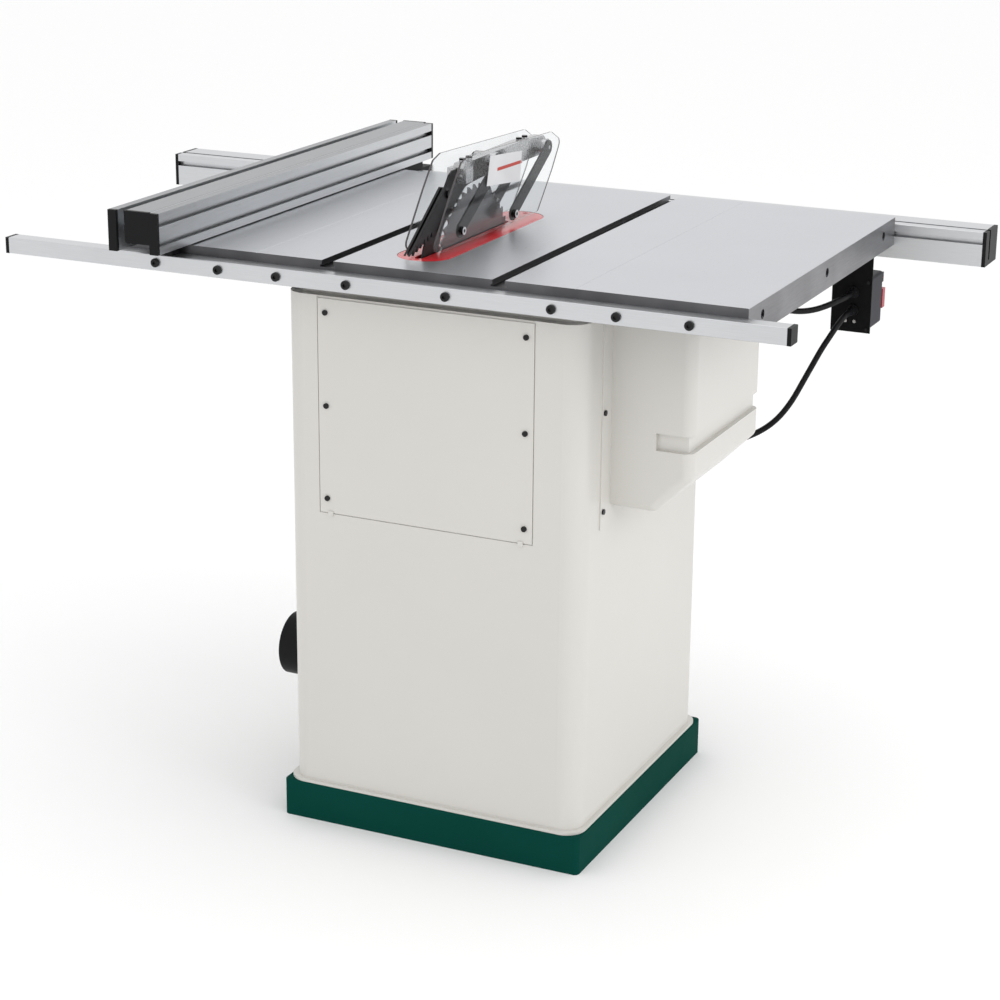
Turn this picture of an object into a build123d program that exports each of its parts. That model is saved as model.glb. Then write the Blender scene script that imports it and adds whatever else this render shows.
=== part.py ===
"""Hybrid table saw: cast table on a sheet-metal cabinet, with rip fence, blade guard and tilting blade.

Frame: +X to the operator's right, +Y to the rear (outfeed), +Z up, millimetres.
Origin: centre of the base's bolt pattern, on the floor.
"""

from build123d import *
from math import atan2, cos, degrees, hypot, pi, radians, sin, tan
import os

# ---------------------------------------------------------------- driving dimensions
# Table
TABLE_TOP = 900.0
TABLE_LEFT = -489.0
TABLE_RIGHT = 527.0
TABLE_FRONT = -418.0
TABLE_REAR = 268.0
SEAM_LEFT = TABLE_LEFT + 254.0
SEAM_RIGHT = TABLE_RIGHT - 254.0
RIM_HEIGHT = 45.0
RIM_WALL = 12.0
PLATE = 12.0
SLOT_XS = (-118.0, 155.0)
SLOT_WIDTH = 19.4
SLOT_DEPTH = 9.8
INSERT_LENGTH = 400.0
INSERT_WIDTH = 86.0
INSERT_THICKNESS = 6.0
INSERT_CENTRE = (45.0, 11.5)
EASE = 0.8

# Blade and its tilt axis, which lies in the table's surface
BLADE_X = 44.0
ARBOR_Y = 15.0
ARBOR_Z = 852.0
BLADE_RADIUS = 127.0
BLADE_PLATE = 2.4
BLADE_TEETH = 40
TILT_CENTRE = (BLADE_X, TABLE_TOP)
ELEVATION_TRAVEL = 80.0

# Cabinet and base
CABINET_HALF_X = 242.0
CABINET_HALF_Y = 248.0
CABINET_TOP = 842.0
CABINET_RADIUS = 32.0
SHEET = 2.0
BASE_HALF_X = 251.0
BASE_HALF_Y = 257.0
BASE_HEIGHT = 60.0
BASE_RADIUS = 8.0
FLOOR_BOLT_X = 215.0
FLOOR_BOLT_Y = 220.0
LIP_TOP = TABLE_TOP - RIM_HEIGHT

# Fence rails
REAR_RAIL_LEFT = -559.0
REAR_RAIL_RIGHT = 700.0
REAR_RAIL_SIDE = 27.0
REAR_RAIL_TOP = 886.5
FRONT_RAIL_LEFT = -637.0
FRONT_RAIL_RIGHT = 844.0
FRONT_RAIL_DEPTH = 68.0
FRONT_RAIL_HEIGHT = 55.0
FRONT_RAIL_TOP = 888.5
RAIL_BOLT_XS = (431.0, 324.0, 226.0, 111.0, -48.0, -211.0, -308.0, -415.0)

# Fence
FENCE_LEFT = 384.0
FENCE_FRONT = -532.0
FENCE_REAR = 361.0
FENCE_BOTTOM = 902.0
FENCE_HEIGHT = 61.0
FENCE_FACE = 14.0
FENCE_WIDTH = 84.0
CAP = 6.0

# Handwheels, tilt and elevation drives
WHEEL_RADIUS = 89.0
SHAFT_RADIUS = 8.0
ELEVATION_SHAFT_X = BLADE_X - 60.0
ELEVATION_SHAFT_Z = TABLE_TOP - 250.0
SCREW_Y = -85.0
TILT_SHAFT_Y = -127.0
SECTOR_RADIUS = 170.0
WORM_RADIUS = 11.0
TILT_SHAFT_Z = TABLE_TOP - SECTOR_RADIUS - WORM_RADIUS - 1.0
TILT_RANGE = 45.0

# Trunnions: the moving ring slides inside the fixed one
RING_INNER = 122.0
RING_MIDDLE = 145.6
RING_OUTER = 165.0
FRONT_RING = (-155.0, -140.0)
FRONT_FAN = (-134.0, -120.0)
REAR_FAN = (150.0, 164.0)
REAR_RING = (166.0, 181.0)

# Motor and belt
MOTOR_Y = -17.0
MOTOR_Z = TABLE_TOP - 140.0
MOTOR_RADIUS = 65.0
MOTOR_RIGHT = BLADE_X - 115.0
MOTOR_LENGTH = 220.0
ARBOR_PULLEY_RADIUS = 28.0
MOTOR_PULLEY_RADIUS = 35.0
BELT_X = BLADE_X - 107.0
BELT_WIDTH = 18.0
BELT_THICKNESS = 3.5
GUIDE_YS = (-50.0, 80.0)
GUIDE_RADIUS = 9.0

# Guard
SHIELD_OFFSET = 23.0
SHIELD_THICKNESS = 3.0
ARM_THICKNESS = 3.0
ARM_WIDTH = 22.0
FRONT_PIVOT = (-218.0, TABLE_TOP + 100.0)
REAR_PIVOT = (-32.0, TABLE_TOP + 108.0)
FRONT_ARM_END = (-85.0, TABLE_TOP + 18.0)
REAR_ARM_END = (101.0, TABLE_TOP + 26.0)
PAWL_PIVOT = (112.0, TABLE_TOP + 80.0)
SPLITTER_THICKNESS = 2.5
PIN_RADIUS = 3.0
RUNNING = 0.08

# Dust port
PORT_Y = 112.0
PORT_Z = 228.0
PORT_RADIUS = 50.0
PORT_END = 312.0

# Switch and cords
SWITCH_LEFT = -457.0
SWITCH_RIGHT = -391.0
SWITCH_PLATE_Y = -420.0
SWITCH_TOP = FRONT_RAIL_TOP - FRONT_RAIL_HEIGHT
SWITCH_BOTTOM = 705.5
CORD_RADIUS = 4.75
COIL_CENTRE = (-60.0, -384.0)
COIL_RADIUS = 52.0

os.makedirs("parts", exist_ok=True)


# ---------------------------------------------------------------- planes and helpers
def across(x):
    """Plane of constant x: a sketch's axes are Y and Z, and it extrudes toward +X."""
    return Plane.YZ.offset(x)


def along(y):
    """Plane of constant y: a sketch's axes are X and Z, and it extrudes toward -Y."""
    return Plane.XZ.offset(-y)


def level(z):
    """Plane of constant z: a sketch's axes are X and Y, and it extrudes toward +Z."""
    return Plane.XY.offset(z)


def block(x, y, z, mode=Mode.ADD):
    """A box between two limits on each axis."""
    with BuildSketch(level(z[0])) as face:
        with Locations(((x[0] + x[1]) / 2, (y[0] + y[1]) / 2)):
            Rectangle(x[1] - x[0], y[1] - y[0])
    extrude(face.sketch, amount=z[1] - z[0], mode=mode)


def rod_x(x, y, z, radius, mode=Mode.ADD):
    with BuildSketch(across(x[0])) as face:
        with Locations((y, z)):
            Circle(radius)
    extrude(face.sketch, amount=x[1] - x[0], mode=mode)


def rod_y(x, y, z, radius, mode=Mode.ADD):
    with BuildSketch(along(y[1])) as face:
        with Locations((x, z)):
            Circle(radius)
    extrude(face.sketch, amount=y[1] - y[0], mode=mode)


def rod_z(x, y, z, radius, mode=Mode.ADD):
    with BuildSketch(level(z[0])) as face:
        with Locations((x, y)):
            Circle(radius)
    extrude(face.sketch, amount=z[1] - z[0], mode=mode)


def outline_x(x, points, mode=Mode.ADD):
    """A plate between two x limits, from its outline in Y and Z."""
    with BuildSketch(across(x[0])) as face:
        with BuildLine():
            Polyline(*points, close=True)
        make_face()
    extrude(face.sketch, amount=x[1] - x[0], mode=mode)


def outline_y(y, points, mode=Mode.ADD):
    """A plate between two y limits, from its outline in X and Z."""
    with BuildSketch(along(y[1])) as face:
        with BuildLine():
            Polyline(*points, close=True)
        make_face()
    extrude(face.sketch, amount=y[1] - y[0], mode=mode)


def ring_sector(y, inner, outer, start, end, mode=Mode.ADD):
    """Part of a ring about the tilt axis; angles run from +X towards +Z."""
    with BuildSketch(along(y[1])) as face:
        with BuildLine():
            far = CenterArc(TILT_CENTRE, outer, start, end - start)
            near = CenterArc(TILT_CENTRE, inner, start, end - start)
            Line(far @ 0, near @ 0)
            Line(far @ 1, near @ 1)
        make_face()
    extrude(face.sketch, amount=y[1] - y[0], mode=mode)


def save(builder, name):
    builder.part.label = name
    export_step(builder.part, f"parts/{name}.step")


# ---------------------------------------------------------------- base and cabinet
with BuildPart() as base_plinth:
    with BuildSketch(level(0)):
        RectangleRounded(2 * BASE_HALF_X, 2 * BASE_HALF_Y, BASE_RADIUS)
    extrude(amount=BASE_HEIGHT)
    with BuildSketch(level(6)):
        RectangleRounded(2 * BASE_HALF_X - 12, 2 * BASE_HALF_Y - 12, BASE_RADIUS - 4)
    extrude(amount=BASE_HEIGHT - 12, mode=Mode.SUBTRACT)
    with BuildSketch(level(0)):
        RectangleRounded(2 * BASE_HALF_X - 120, 2 * BASE_HALF_Y - 120, 20)
    extrude(amount=BASE_HEIGHT, mode=Mode.SUBTRACT)
    with BuildSketch(level(BASE_HEIGHT - 6)):
        RectangleRounded(2 * BASE_HALF_X - 60, 2 * BASE_HALF_Y - 60, 30)
    extrude(amount=6, mode=Mode.SUBTRACT)
    with Locations((0, 0, 6)):
        with GridLocations(2 * FLOOR_BOLT_X, 2 * FLOOR_BOLT_Y, 2, 2):
            Hole(6, depth=6)
    fillet(base_plinth.faces().sort_by(Axis.Z)[-1].outer_wire().edges(), 2)

PANEL_X = (-165.5, 183.5)
PANEL_Z = (508.5, 838.0)
MOTOR_WINDOW_Y = (-132.0, 125.0)
MOTOR_WINDOW_Z = (553.0, 836.0)
DRIVE_WINDOW_X = (-70.0, 205.0)
DRIVE_WINDOW_Z = (612.0, 722.0)
FLARE = 7.0

with BuildPart() as cabinet:
    with BuildSketch(level(BASE_HEIGHT)):
        RectangleRounded(2 * CABINET_HALF_X, 2 * CABINET_HALF_Y, CABINET_RADIUS)
    extrude(amount=CABINET_TOP - BASE_HEIGHT)
    with BuildSketch(level(BASE_HEIGHT)):
        RectangleRounded(2 * (CABINET_HALF_X + FLARE), 2 * (CABINET_HALF_Y + FLARE), CABINET_RADIUS)
    extrude(amount=4)
    with BuildSketch(level(BASE_HEIGHT)):
        RectangleRounded(2 * (CABINET_HALF_X - SHEET), 2 * (CABINET_HALF_Y - SHEET), CABINET_RADIUS - SHEET)
    extrude(amount=CABINET_TOP - BASE_HEIGHT - SHEET, mode=Mode.SUBTRACT)
    # raised lip that carries the table
    with BuildSketch(level(CABINET_TOP)):
        RectangleRounded(2 * CABINET_HALF_X - 36, 2 * CABINET_HALF_Y - 36, 12)
    extrude(amount=LIP_TOP - CABINET_TOP)
    with BuildSketch(level(CABINET_TOP - SHEET)):
        RectangleRounded(2 * CABINET_HALF_X - 44, 2 * CABINET_HALF_Y - 44, 10)
    extrude(amount=LIP_TOP - CABINET_TOP + SHEET, mode=Mode.SUBTRACT)
    for post_x in (-196.0, 196.0):
        for post_y in (-204.0, 204.0):
            block((post_x - 15, post_x + 15), (post_y - 15, post_y + 15),
                  (CABINET_TOP - SHEET, TABLE_TOP - PLATE))
    # rear opening, with the seat that the access panel is screwed to
    block((PANEL_X[0] - 14, PANEL_X[1] + 14), (CABINET_HALF_Y - 6, CABINET_HALF_Y - SHEET),
          (PANEL_Z[0] - 14, CABINET_TOP - SHEET))
    block((PANEL_X[0] + 14, PANEL_X[1] - 14), (CABINET_HALF_Y - 10, CABINET_HALF_Y + 1),
          (PANEL_Z[0] + 14, PANEL_Z[1] - 14), mode=Mode.SUBTRACT)
    block((PANEL_X[0] - 1.5, PANEL_X[1] + 1.5), (CABINET_HALF_Y - SHEET, CABINET_HALF_Y + 1),
          (PANEL_Z[0] - 1.5, CABINET_TOP - 0.5), mode=Mode.SUBTRACT)
    # windows for the motor, the elevation shaft's sweep, the tilt shaft and the dust port
    block((-CABINET_HALF_X - 1, -CABINET_HALF_X + SHEET + 1), MOTOR_WINDOW_Y, MOTOR_WINDOW_Z,
          mode=Mode.SUBTRACT)
    block(DRIVE_WINDOW_X, (-CABINET_HALF_Y - 1, -CABINET_HALF_Y + SHEET + 1), DRIVE_WINDOW_Z,
          mode=Mode.SUBTRACT)
    right_wall = (CABINET_HALF_X - SHEET - 1, CABINET_HALF_X + 1)
    rod_x(right_wall, TILT_SHAFT_Y, TILT_SHAFT_Z, 14, mode=Mode.SUBTRACT)
    rod_x(right_wall, PORT_Y, PORT_Z, PORT_RADIUS - 3, mode=Mode.SUBTRACT)

with BuildPart() as rear_panel:
    block(PANEL_X, (CABINET_HALF_Y - SHEET, CABINET_HALF_Y + 0.4), PANEL_Z)
    for tab_x in (PANEL_X[0] + 18, PANEL_X[1] - 18):
        block((tab_x - 4, tab_x + 4), (CABINET_HALF_Y, CABINET_HALF_Y + 2.4),
              (PANEL_Z[0] - 5, PANEL_Z[0] + 3))

PANEL_SCREWS = [(x, z) for x in (PANEL_X[0] + 12.5, PANEL_X[1] - 12.5) for z in (531.0, 675.0, 817.0)]
COVER_SCREWS = [(y, z) for y in (172.0, -167.0) for z in (548.0, 698.0)]
COVER_FLANGE_X = (-CABINET_HALF_X - 2.0, -CABINET_HALF_X)

with BuildPart() as cover_screws:
    for screw_x, screw_z in PANEL_SCREWS:
        rod_y(screw_x, (CABINET_HALF_Y + 0.4, CABINET_HALF_Y + 3.0), screw_z, 4.2)
    for screw_y, screw_z in COVER_SCREWS:
        rod_x((COVER_FLANGE_X[0] - 2.6, COVER_FLANGE_X[0]), screw_y, screw_z, 4.2)

# ---------------------------------------------------------------- motor cover
COVER_Y = (-143.0, 147.0)
COVER_OUT = -370.0
COVER_TOP = 853.0
COVER_BOTTOM = 548.0
COVER_CHAMFER = 57.0
COVER_WALL = 3.0
GROOVE_Z = (644.0, 670.0)
GROOVE_DEPTH = 8.0
GROOVE_START = -314.0


def cover_body(inset, reach):
    """The cover's bulk, shrunk by inset on its closed sides and reaching toward +X as far as told."""
    out = COVER_OUT + inset
    bottom = COVER_BOTTOM + inset
    cut = COVER_CHAMFER - 0.4 * inset
    outline_y((COVER_Y[0] + inset, COVER_Y[1] - inset), [
        (reach, bottom), (out + cut, bottom), (out, bottom + cut),
        (out, COVER_TOP - inset), (reach, COVER_TOP - inset),
    ])


def cover_groove(grow):
    """The recessed band round the cover's outer end."""
    low, high = GROOVE_Z[0] - grow, GROOVE_Z[1] + grow
    block((COVER_OUT - 1, COVER_OUT + GROOVE_DEPTH + grow), (COVER_Y[0] - 1, COVER_Y[1] + 1), (low, high),
          mode=Mode.SUBTRACT)
    depth = GROOVE_DEPTH + grow
    for side in ((COVER_Y[0] - 1, COVER_Y[0] + depth), (COVER_Y[1] - depth, COVER_Y[1] + 1)):
        block((COVER_OUT - 1, GROOVE_START + grow), side, (low, high), mode=Mode.SUBTRACT)


def round_cover(cover, upright, low):
    """Rounds the cover's outer upright corners and the two edges of its chamfer."""
    fillet(cover.edges().filter_by(Axis.Z).group_by(Axis.X)[0], upright)
    fillet(cover.edges().filter_by(Axis.Y).group_by(Axis.X)[0].group_by(Axis.Z)[0], low)
    fillet(cover.edges().filter_by(Axis.Y).group_by(Axis.Z)[0].group_by(Axis.X)[0], low)


with BuildPart() as cover_cavity:
    cover_body(COVER_WALL, -CABINET_HALF_X + 5)
    round_cover(cover_cavity, 13, 11)
    cover_groove(COVER_WALL)

with BuildPart() as motor_cover:
    cover_body(0, COVER_FLANGE_X[0])
    round_cover(motor_cover, 16, 14)
    cover_groove(0)
    block(COVER_FLANGE_X, (-174.0, 180.0), (521.0, COVER_TOP))
    add(cover_cavity.part, mode=Mode.SUBTRACT)

# ---------------------------------------------------------------- front panel with the tilt slot
ELEVATION_ANGLE = degrees(atan2(ELEVATION_SHAFT_Z - TABLE_TOP, ELEVATION_SHAFT_X - BLADE_X)) + 360
ELEVATION_REACH = hypot(ELEVATION_SHAFT_X - BLADE_X, ELEVATION_SHAFT_Z - TABLE_TOP)
FRONT_PANEL_Y = (-CABINET_HALF_Y - 2.5, -CABINET_HALF_Y)

with BuildPart() as front_panel:
    with BuildSketch(along(FRONT_PANEL_Y[1])):
        with Locations((24.0, 672.0)):
            RectangleRounded(384, 300, 14)
        with BuildSketch(mode=Mode.PRIVATE) as arc_slot:
            with BuildLine() as arc_line:
                CenterArc(TILT_CENTRE, ELEVATION_REACH, ELEVATION_ANGLE - 1, TILT_RANGE + 2)
            SlotArc(arc_line.wires()[0], 2 * SHAFT_RADIUS + 8)
        add(arc_slot.sketch, mode=Mode.SUBTRACT)
    extrude(amount=FRONT_PANEL_Y[1] - FRONT_PANEL_Y[0])
    # tilt scale: a raised band under the slot with a tick each 5 degrees
    ring_sector((FRONT_PANEL_Y[0] - 1, FRONT_PANEL_Y[0]), ELEVATION_REACH + 20, ELEVATION_REACH + 34,
                ELEVATION_ANGLE - 3, ELEVATION_ANGLE + TILT_RANGE + 3)
    for step in range(10):
        tick = ELEVATION_ANGLE + 5 * step
        ring_sector((FRONT_PANEL_Y[0] - 1.6, FRONT_PANEL_Y[0] - 1),
                    ELEVATION_REACH + 20, ELEVATION_REACH + 28, tick - 0.2, tick + 0.2)

# ---------------------------------------------------------------- table, wings and insert
def slot_z(depth):
    return TABLE_TOP - depth


def insert_outline(inset):
    """Round-ended outline of the insert and its seat, shrunk all round."""
    with Locations(INSERT_CENTRE):
        SlotOverall(INSERT_LENGTH - 2 * inset, INSERT_WIDTH - 2 * inset, rotation=90)


with BuildPart() as table_main:
    block((SEAM_LEFT, SEAM_RIGHT), (TABLE_FRONT, TABLE_REAR), (LIP_TOP, TABLE_TOP))
    chamfer(table_main.edges().filter_by(Axis.Y).group_by(Axis.Z)[-1], EASE)
    block((SEAM_LEFT + RIM_WALL, SEAM_RIGHT - RIM_WALL), (TABLE_FRONT + RIM_WALL, TABLE_REAR - RIM_WALL),
          (LIP_TOP, TABLE_TOP - PLATE), mode=Mode.SUBTRACT)
    for slot_x in SLOT_XS:
        block((slot_x - 18, slot_x + 18), (TABLE_FRONT + RIM_WALL, TABLE_REAR - RIM_WALL),
              (slot_z(32), slot_z(PLATE)))
    for slot_x in SLOT_XS:
        block((slot_x - SLOT_WIDTH / 2, slot_x + SLOT_WIDTH / 2), (TABLE_FRONT, TABLE_REAR),
              (slot_z(SLOT_DEPTH), TABLE_TOP), mode=Mode.SUBTRACT)
        block((slot_x - SLOT_WIDTH / 2 - 2.6, slot_x + SLOT_WIDTH / 2 + 2.6), (TABLE_FRONT, TABLE_REAR),
              (slot_z(SLOT_DEPTH), slot_z(SLOT_DEPTH - 3.2)), mode=Mode.SUBTRACT)
    with BuildSketch(level(TABLE_TOP - INSERT_THICKNESS)):
        insert_outline(0)
    extrude(amount=INSERT_THICKNESS, mode=Mode.SUBTRACT)
    with BuildSketch(level(LIP_TOP)):
        insert_outline(4)
    extrude(amount=RIM_HEIGHT, mode=Mode.SUBTRACT)


def wing(x, outer_side):
    """A cast wing: plate, rim and two ribs, with bolt holes through its outer rim."""
    block(x, (TABLE_FRONT, TABLE_REAR), (LIP_TOP, TABLE_TOP))
    chamfer(edges().filter_by(Axis.Y).group_by(Axis.Z)[-1], EASE)
    third = (TABLE_REAR - TABLE_FRONT - 2 * RIM_WALL - 16) / 3
    for bay in range(3):
        start = TABLE_FRONT + RIM_WALL + bay * (third + 8)
        block((x[0] + RIM_WALL, x[1] - RIM_WALL), (start, start + third), (LIP_TOP, TABLE_TOP - PLATE),
              mode=Mode.SUBTRACT)
    for hole_y in WING_HOLES:
        rod_x((outer_side - RIM_WALL - 1, outer_side + RIM_WALL + 1), hole_y, WING_HOLE_Z, WING_HOLE_RADIUS,
              mode=Mode.SUBTRACT)


WING_HOLES = (210.0, -74.0, -358.0)
WING_HOLE_Z = TABLE_TOP - 20.0
WING_HOLE_RADIUS = 7.0

with BuildPart() as table_wing_left:
    wing((TABLE_LEFT, SEAM_LEFT), TABLE_LEFT)

with BuildPart() as table_wing_right:
    wing((SEAM_RIGHT, TABLE_RIGHT), TABLE_RIGHT)

with BuildPart() as table_insert:
    with BuildSketch(level(TABLE_TOP - INSERT_THICKNESS)):
        insert_outline(0.25)
    extrude(amount=INSERT_THICKNESS - 0.2)
    fillet(table_insert.faces().sort_by(Axis.Z)[-1].outer_wire().edges(), 0.8)
    with BuildSketch(level(TABLE_TOP)):
        with Locations((BLADE_X + 3, 43.0)):
            SlotOverall(304, 14, rotation=90)
    extrude(amount=-INSERT_THICKNESS, mode=Mode.SUBTRACT)
    for end in (-1, 1):
        with Locations((INSERT_CENTRE[0], INSERT_CENTRE[1] + end * 188, TABLE_TOP - 0.2)):
            CounterSinkHole(2.2, 4.4, depth=INSERT_THICKNESS, counter_sink_angle=90)

# ---------------------------------------------------------------- rails
REAR_RAIL_Y = (TABLE_REAR, TABLE_REAR + REAR_RAIL_SIDE)
REAR_RAIL_Z = (REAR_RAIL_TOP - 24.5, REAR_RAIL_TOP)
FRONT_RAIL_Y = (TABLE_FRONT - FRONT_RAIL_DEPTH, TABLE_FRONT)
FRONT_RAIL_Z = (FRONT_RAIL_TOP - FRONT_RAIL_HEIGHT, FRONT_RAIL_TOP)
RAIL_GAP_Y = (TABLE_FRONT - 25.0, TABLE_FRONT - 18.0)

with BuildPart() as rear_rail:
    block((REAR_RAIL_LEFT + CAP, REAR_RAIL_RIGHT - CAP), REAR_RAIL_Y, REAR_RAIL_Z)
    fillet(rear_rail.edges().filter_by(Axis.X), 1.5)
    block((REAR_RAIL_LEFT, REAR_RAIL_RIGHT), (REAR_RAIL_Y[0] + 2.5, REAR_RAIL_Y[1] - 2.5),
          (REAR_RAIL_Z[0] + 2.5, REAR_RAIL_Z[1] - 2.5), mode=Mode.SUBTRACT)

with BuildPart() as rear_rail_bolts:
    for bolt_x in RAIL_BOLT_XS:
        rod_y(bolt_x, (REAR_RAIL_Y[1], REAR_RAIL_Y[1] + 4.5), sum(REAR_RAIL_Z) / 2, 6.8)
    fillet(rear_rail_bolts.edges().filter_by(GeomType.CIRCLE).group_by(Axis.Y)[-1], 1.8)
    for bolt_x in RAIL_BOLT_XS:
        with BuildSketch(along(REAR_RAIL_Y[1] + 4.5)):
            with Locations((bolt_x, sum(REAR_RAIL_Z) / 2)):
                RegularPolygon(3.2, 6)
        extrude(amount=2.5, mode=Mode.SUBTRACT)

with BuildPart() as front_rail:
    block((FRONT_RAIL_LEFT + CAP, FRONT_RAIL_RIGHT - CAP), FRONT_RAIL_Y, FRONT_RAIL_Z)
    fillet(front_rail.edges().filter_by(Axis.X), 1.2)
    rail_run = (FRONT_RAIL_LEFT, FRONT_RAIL_RIGHT)
    # open gap that the fence clamp bears in, a hollow front box, and a T slot in the rear face
    block(rail_run, RAIL_GAP_Y, (FRONT_RAIL_Z[0] + 8, FRONT_RAIL_Z[1]), mode=Mode.SUBTRACT)
    block(rail_run, (FRONT_RAIL_Y[0] + 3, RAIL_GAP_Y[0] - 3), (FRONT_RAIL_Z[0] + 3, FRONT_RAIL_Z[1] - 3),
          mode=Mode.SUBTRACT)
    block(rail_run, (FRONT_RAIL_Y[1] - 3, FRONT_RAIL_Y[1]), (FRONT_RAIL_Z[1] - 20, FRONT_RAIL_Z[1] - 12),
          mode=Mode.SUBTRACT)
    block(rail_run, (FRONT_RAIL_Y[1] - 9, FRONT_RAIL_Y[1] - 3), (FRONT_RAIL_Z[1] - 23, FRONT_RAIL_Z[1] - 9),
          mode=Mode.SUBTRACT)
    block(rail_run, (FRONT_RAIL_Y[1] - 15, FRONT_RAIL_Y[1] - 3), (FRONT_RAIL_Z[0] + 3, FRONT_RAIL_Z[1] - 27),
          mode=Mode.SUBTRACT)

with BuildPart() as rail_caps:
    for cap_x in ((REAR_RAIL_LEFT, REAR_RAIL_LEFT + CAP), (REAR_RAIL_RIGHT - CAP, REAR_RAIL_RIGHT)):
        block(cap_x, REAR_RAIL_Y, REAR_RAIL_Z)
    for cap_x in ((FRONT_RAIL_LEFT, FRONT_RAIL_LEFT + CAP), (FRONT_RAIL_RIGHT - CAP, FRONT_RAIL_RIGHT)):
        block(cap_x, FRONT_RAIL_Y, FRONT_RAIL_Z)
        block(cap_x, RAIL_GAP_Y, (FRONT_RAIL_Z[0] + 8, FRONT_RAIL_Z[1]), mode=Mode.SUBTRACT)

# ---------------------------------------------------------------- trunnions and tilt frame
ARC_START = 195.0
ARC_END = 345.0
MOVING_ARC_END = 295.0

with BuildPart() as trunnion_brackets:
    for ring_y in (FRONT_RING, REAR_RING):
        ring_sector(ring_y, RING_MIDDLE + 0.4, RING_OUTER, ARC_START, ARC_END)
        foot_left = BLADE_X - RING_OUTER
        foot_right = BLADE_X + RING_OUTER
        block((foot_left + 2, foot_left + 14), ring_y, (TABLE_TOP - 48, TABLE_TOP - 32))
        block((foot_right - 16, foot_right - 2), ring_y, (TABLE_TOP - 48, TABLE_TOP - PLATE))


def fan(y, reach):
    """The trunnion's web: open beside the blade, with its lower part reaching past the blade's plane."""
    ring_sector(y, 60, reach, ARC_START, MOVING_ARC_END)
    block((BLADE_X - 34, BLADE_X + 60), (y[0] - 1, y[1] + 1), (TABLE_TOP - 76, TABLE_TOP), mode=Mode.SUBTRACT)


SECTOR_TEETH_START = 222.0
SECTOR_TOOTH = 3.75
SECTOR_TOOTH_COUNT = 14

with BuildPart() as front_trunnion:
    fan(FRONT_FAN, SECTOR_RADIUS - 7)
    ring_sector((FRONT_RING[0], FRONT_FAN[0] + 1), RING_INNER, RING_MIDDLE, ARC_START, MOVING_ARC_END)
    for tooth in range(SECTOR_TOOTH_COUNT):
        start = SECTOR_TEETH_START + SECTOR_TOOTH * tooth
        ring_sector(FRONT_FAN, SECTOR_RADIUS - 9, SECTOR_RADIUS, start, start + 0.45 * SECTOR_TOOTH)
    # leg behind the worm that carries the elevation shaft
    leg_x = (ELEVATION_SHAFT_X - 20, ELEVATION_SHAFT_X + 20)
    block(leg_x, (FRONT_FAN[1] - 1, -105.0), (TABLE_TOP - 150, TABLE_TOP - 100))
    block(leg_x, (-115.0, -105.0), (ELEVATION_SHAFT_Z - 14, TABLE_TOP - 100))
    rod_y(ELEVATION_SHAFT_X, (-116.0, -104.0), ELEVATION_SHAFT_Z, SHAFT_RADIUS + RUNNING, mode=Mode.SUBTRACT)

with BuildPart() as rear_trunnion:
    fan(REAR_FAN, RING_MIDDLE)
    ring_sector((REAR_FAN[1] - 1, REAR_RING[1]), RING_INNER, RING_MIDDLE, ARC_START, MOVING_ARC_END)
    # block beside the blade's plane that the splitter is bolted to
    block((BLADE_X - 36, BLADE_X - SPLITTER_THICKNESS / 2), (REAR_FAN[0], 187.0),
          (TABLE_TOP - 75, TABLE_TOP - 32))

TIE_ANGLES = (205.0, 289.0)
TIE_RADIUS = 134.0
TOP_BAR_Z = (TABLE_TOP - 26, TABLE_TOP - 14)
LOW_BAR_Z = (TABLE_TOP - 228, TABLE_TOP - 216)

with BuildPart() as guide_frame:
    for angle in TIE_ANGLES:
        rod_y(BLADE_X + TIE_RADIUS * cos(radians(angle)), (FRONT_FAN[1], REAR_FAN[0]),
              TABLE_TOP + TIE_RADIUS * sin(radians(angle)), 7)
    block((ELEVATION_SHAFT_X - 14, ELEVATION_SHAFT_X + 12), (FRONT_FAN[1], REAR_FAN[0]), TOP_BAR_Z)
    block((ELEVATION_SHAFT_X - 14, ELEVATION_SHAFT_X + 12), (-105.0, 98.0), LOW_BAR_Z)
    for guide_y in GUIDE_YS:
        rod_z(ELEVATION_SHAFT_X, guide_y, (LOW_BAR_Z[0], TOP_BAR_Z[1]), GUIDE_RADIUS)
    rod_z(ELEVATION_SHAFT_X, SCREW_Y, (LOW_BAR_Z[0] - 1, TOP_BAR_Z[1] + 1), 6 + RUNNING, mode=Mode.SUBTRACT)

# ---------------------------------------------------------------- arbor carriage, motor and belt
WEB_Z = (TABLE_TOP - 112, TABLE_TOP - 58)
MOTOR_PLATE_X = (MOTOR_RIGHT, MOTOR_RIGHT + 6)

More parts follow.
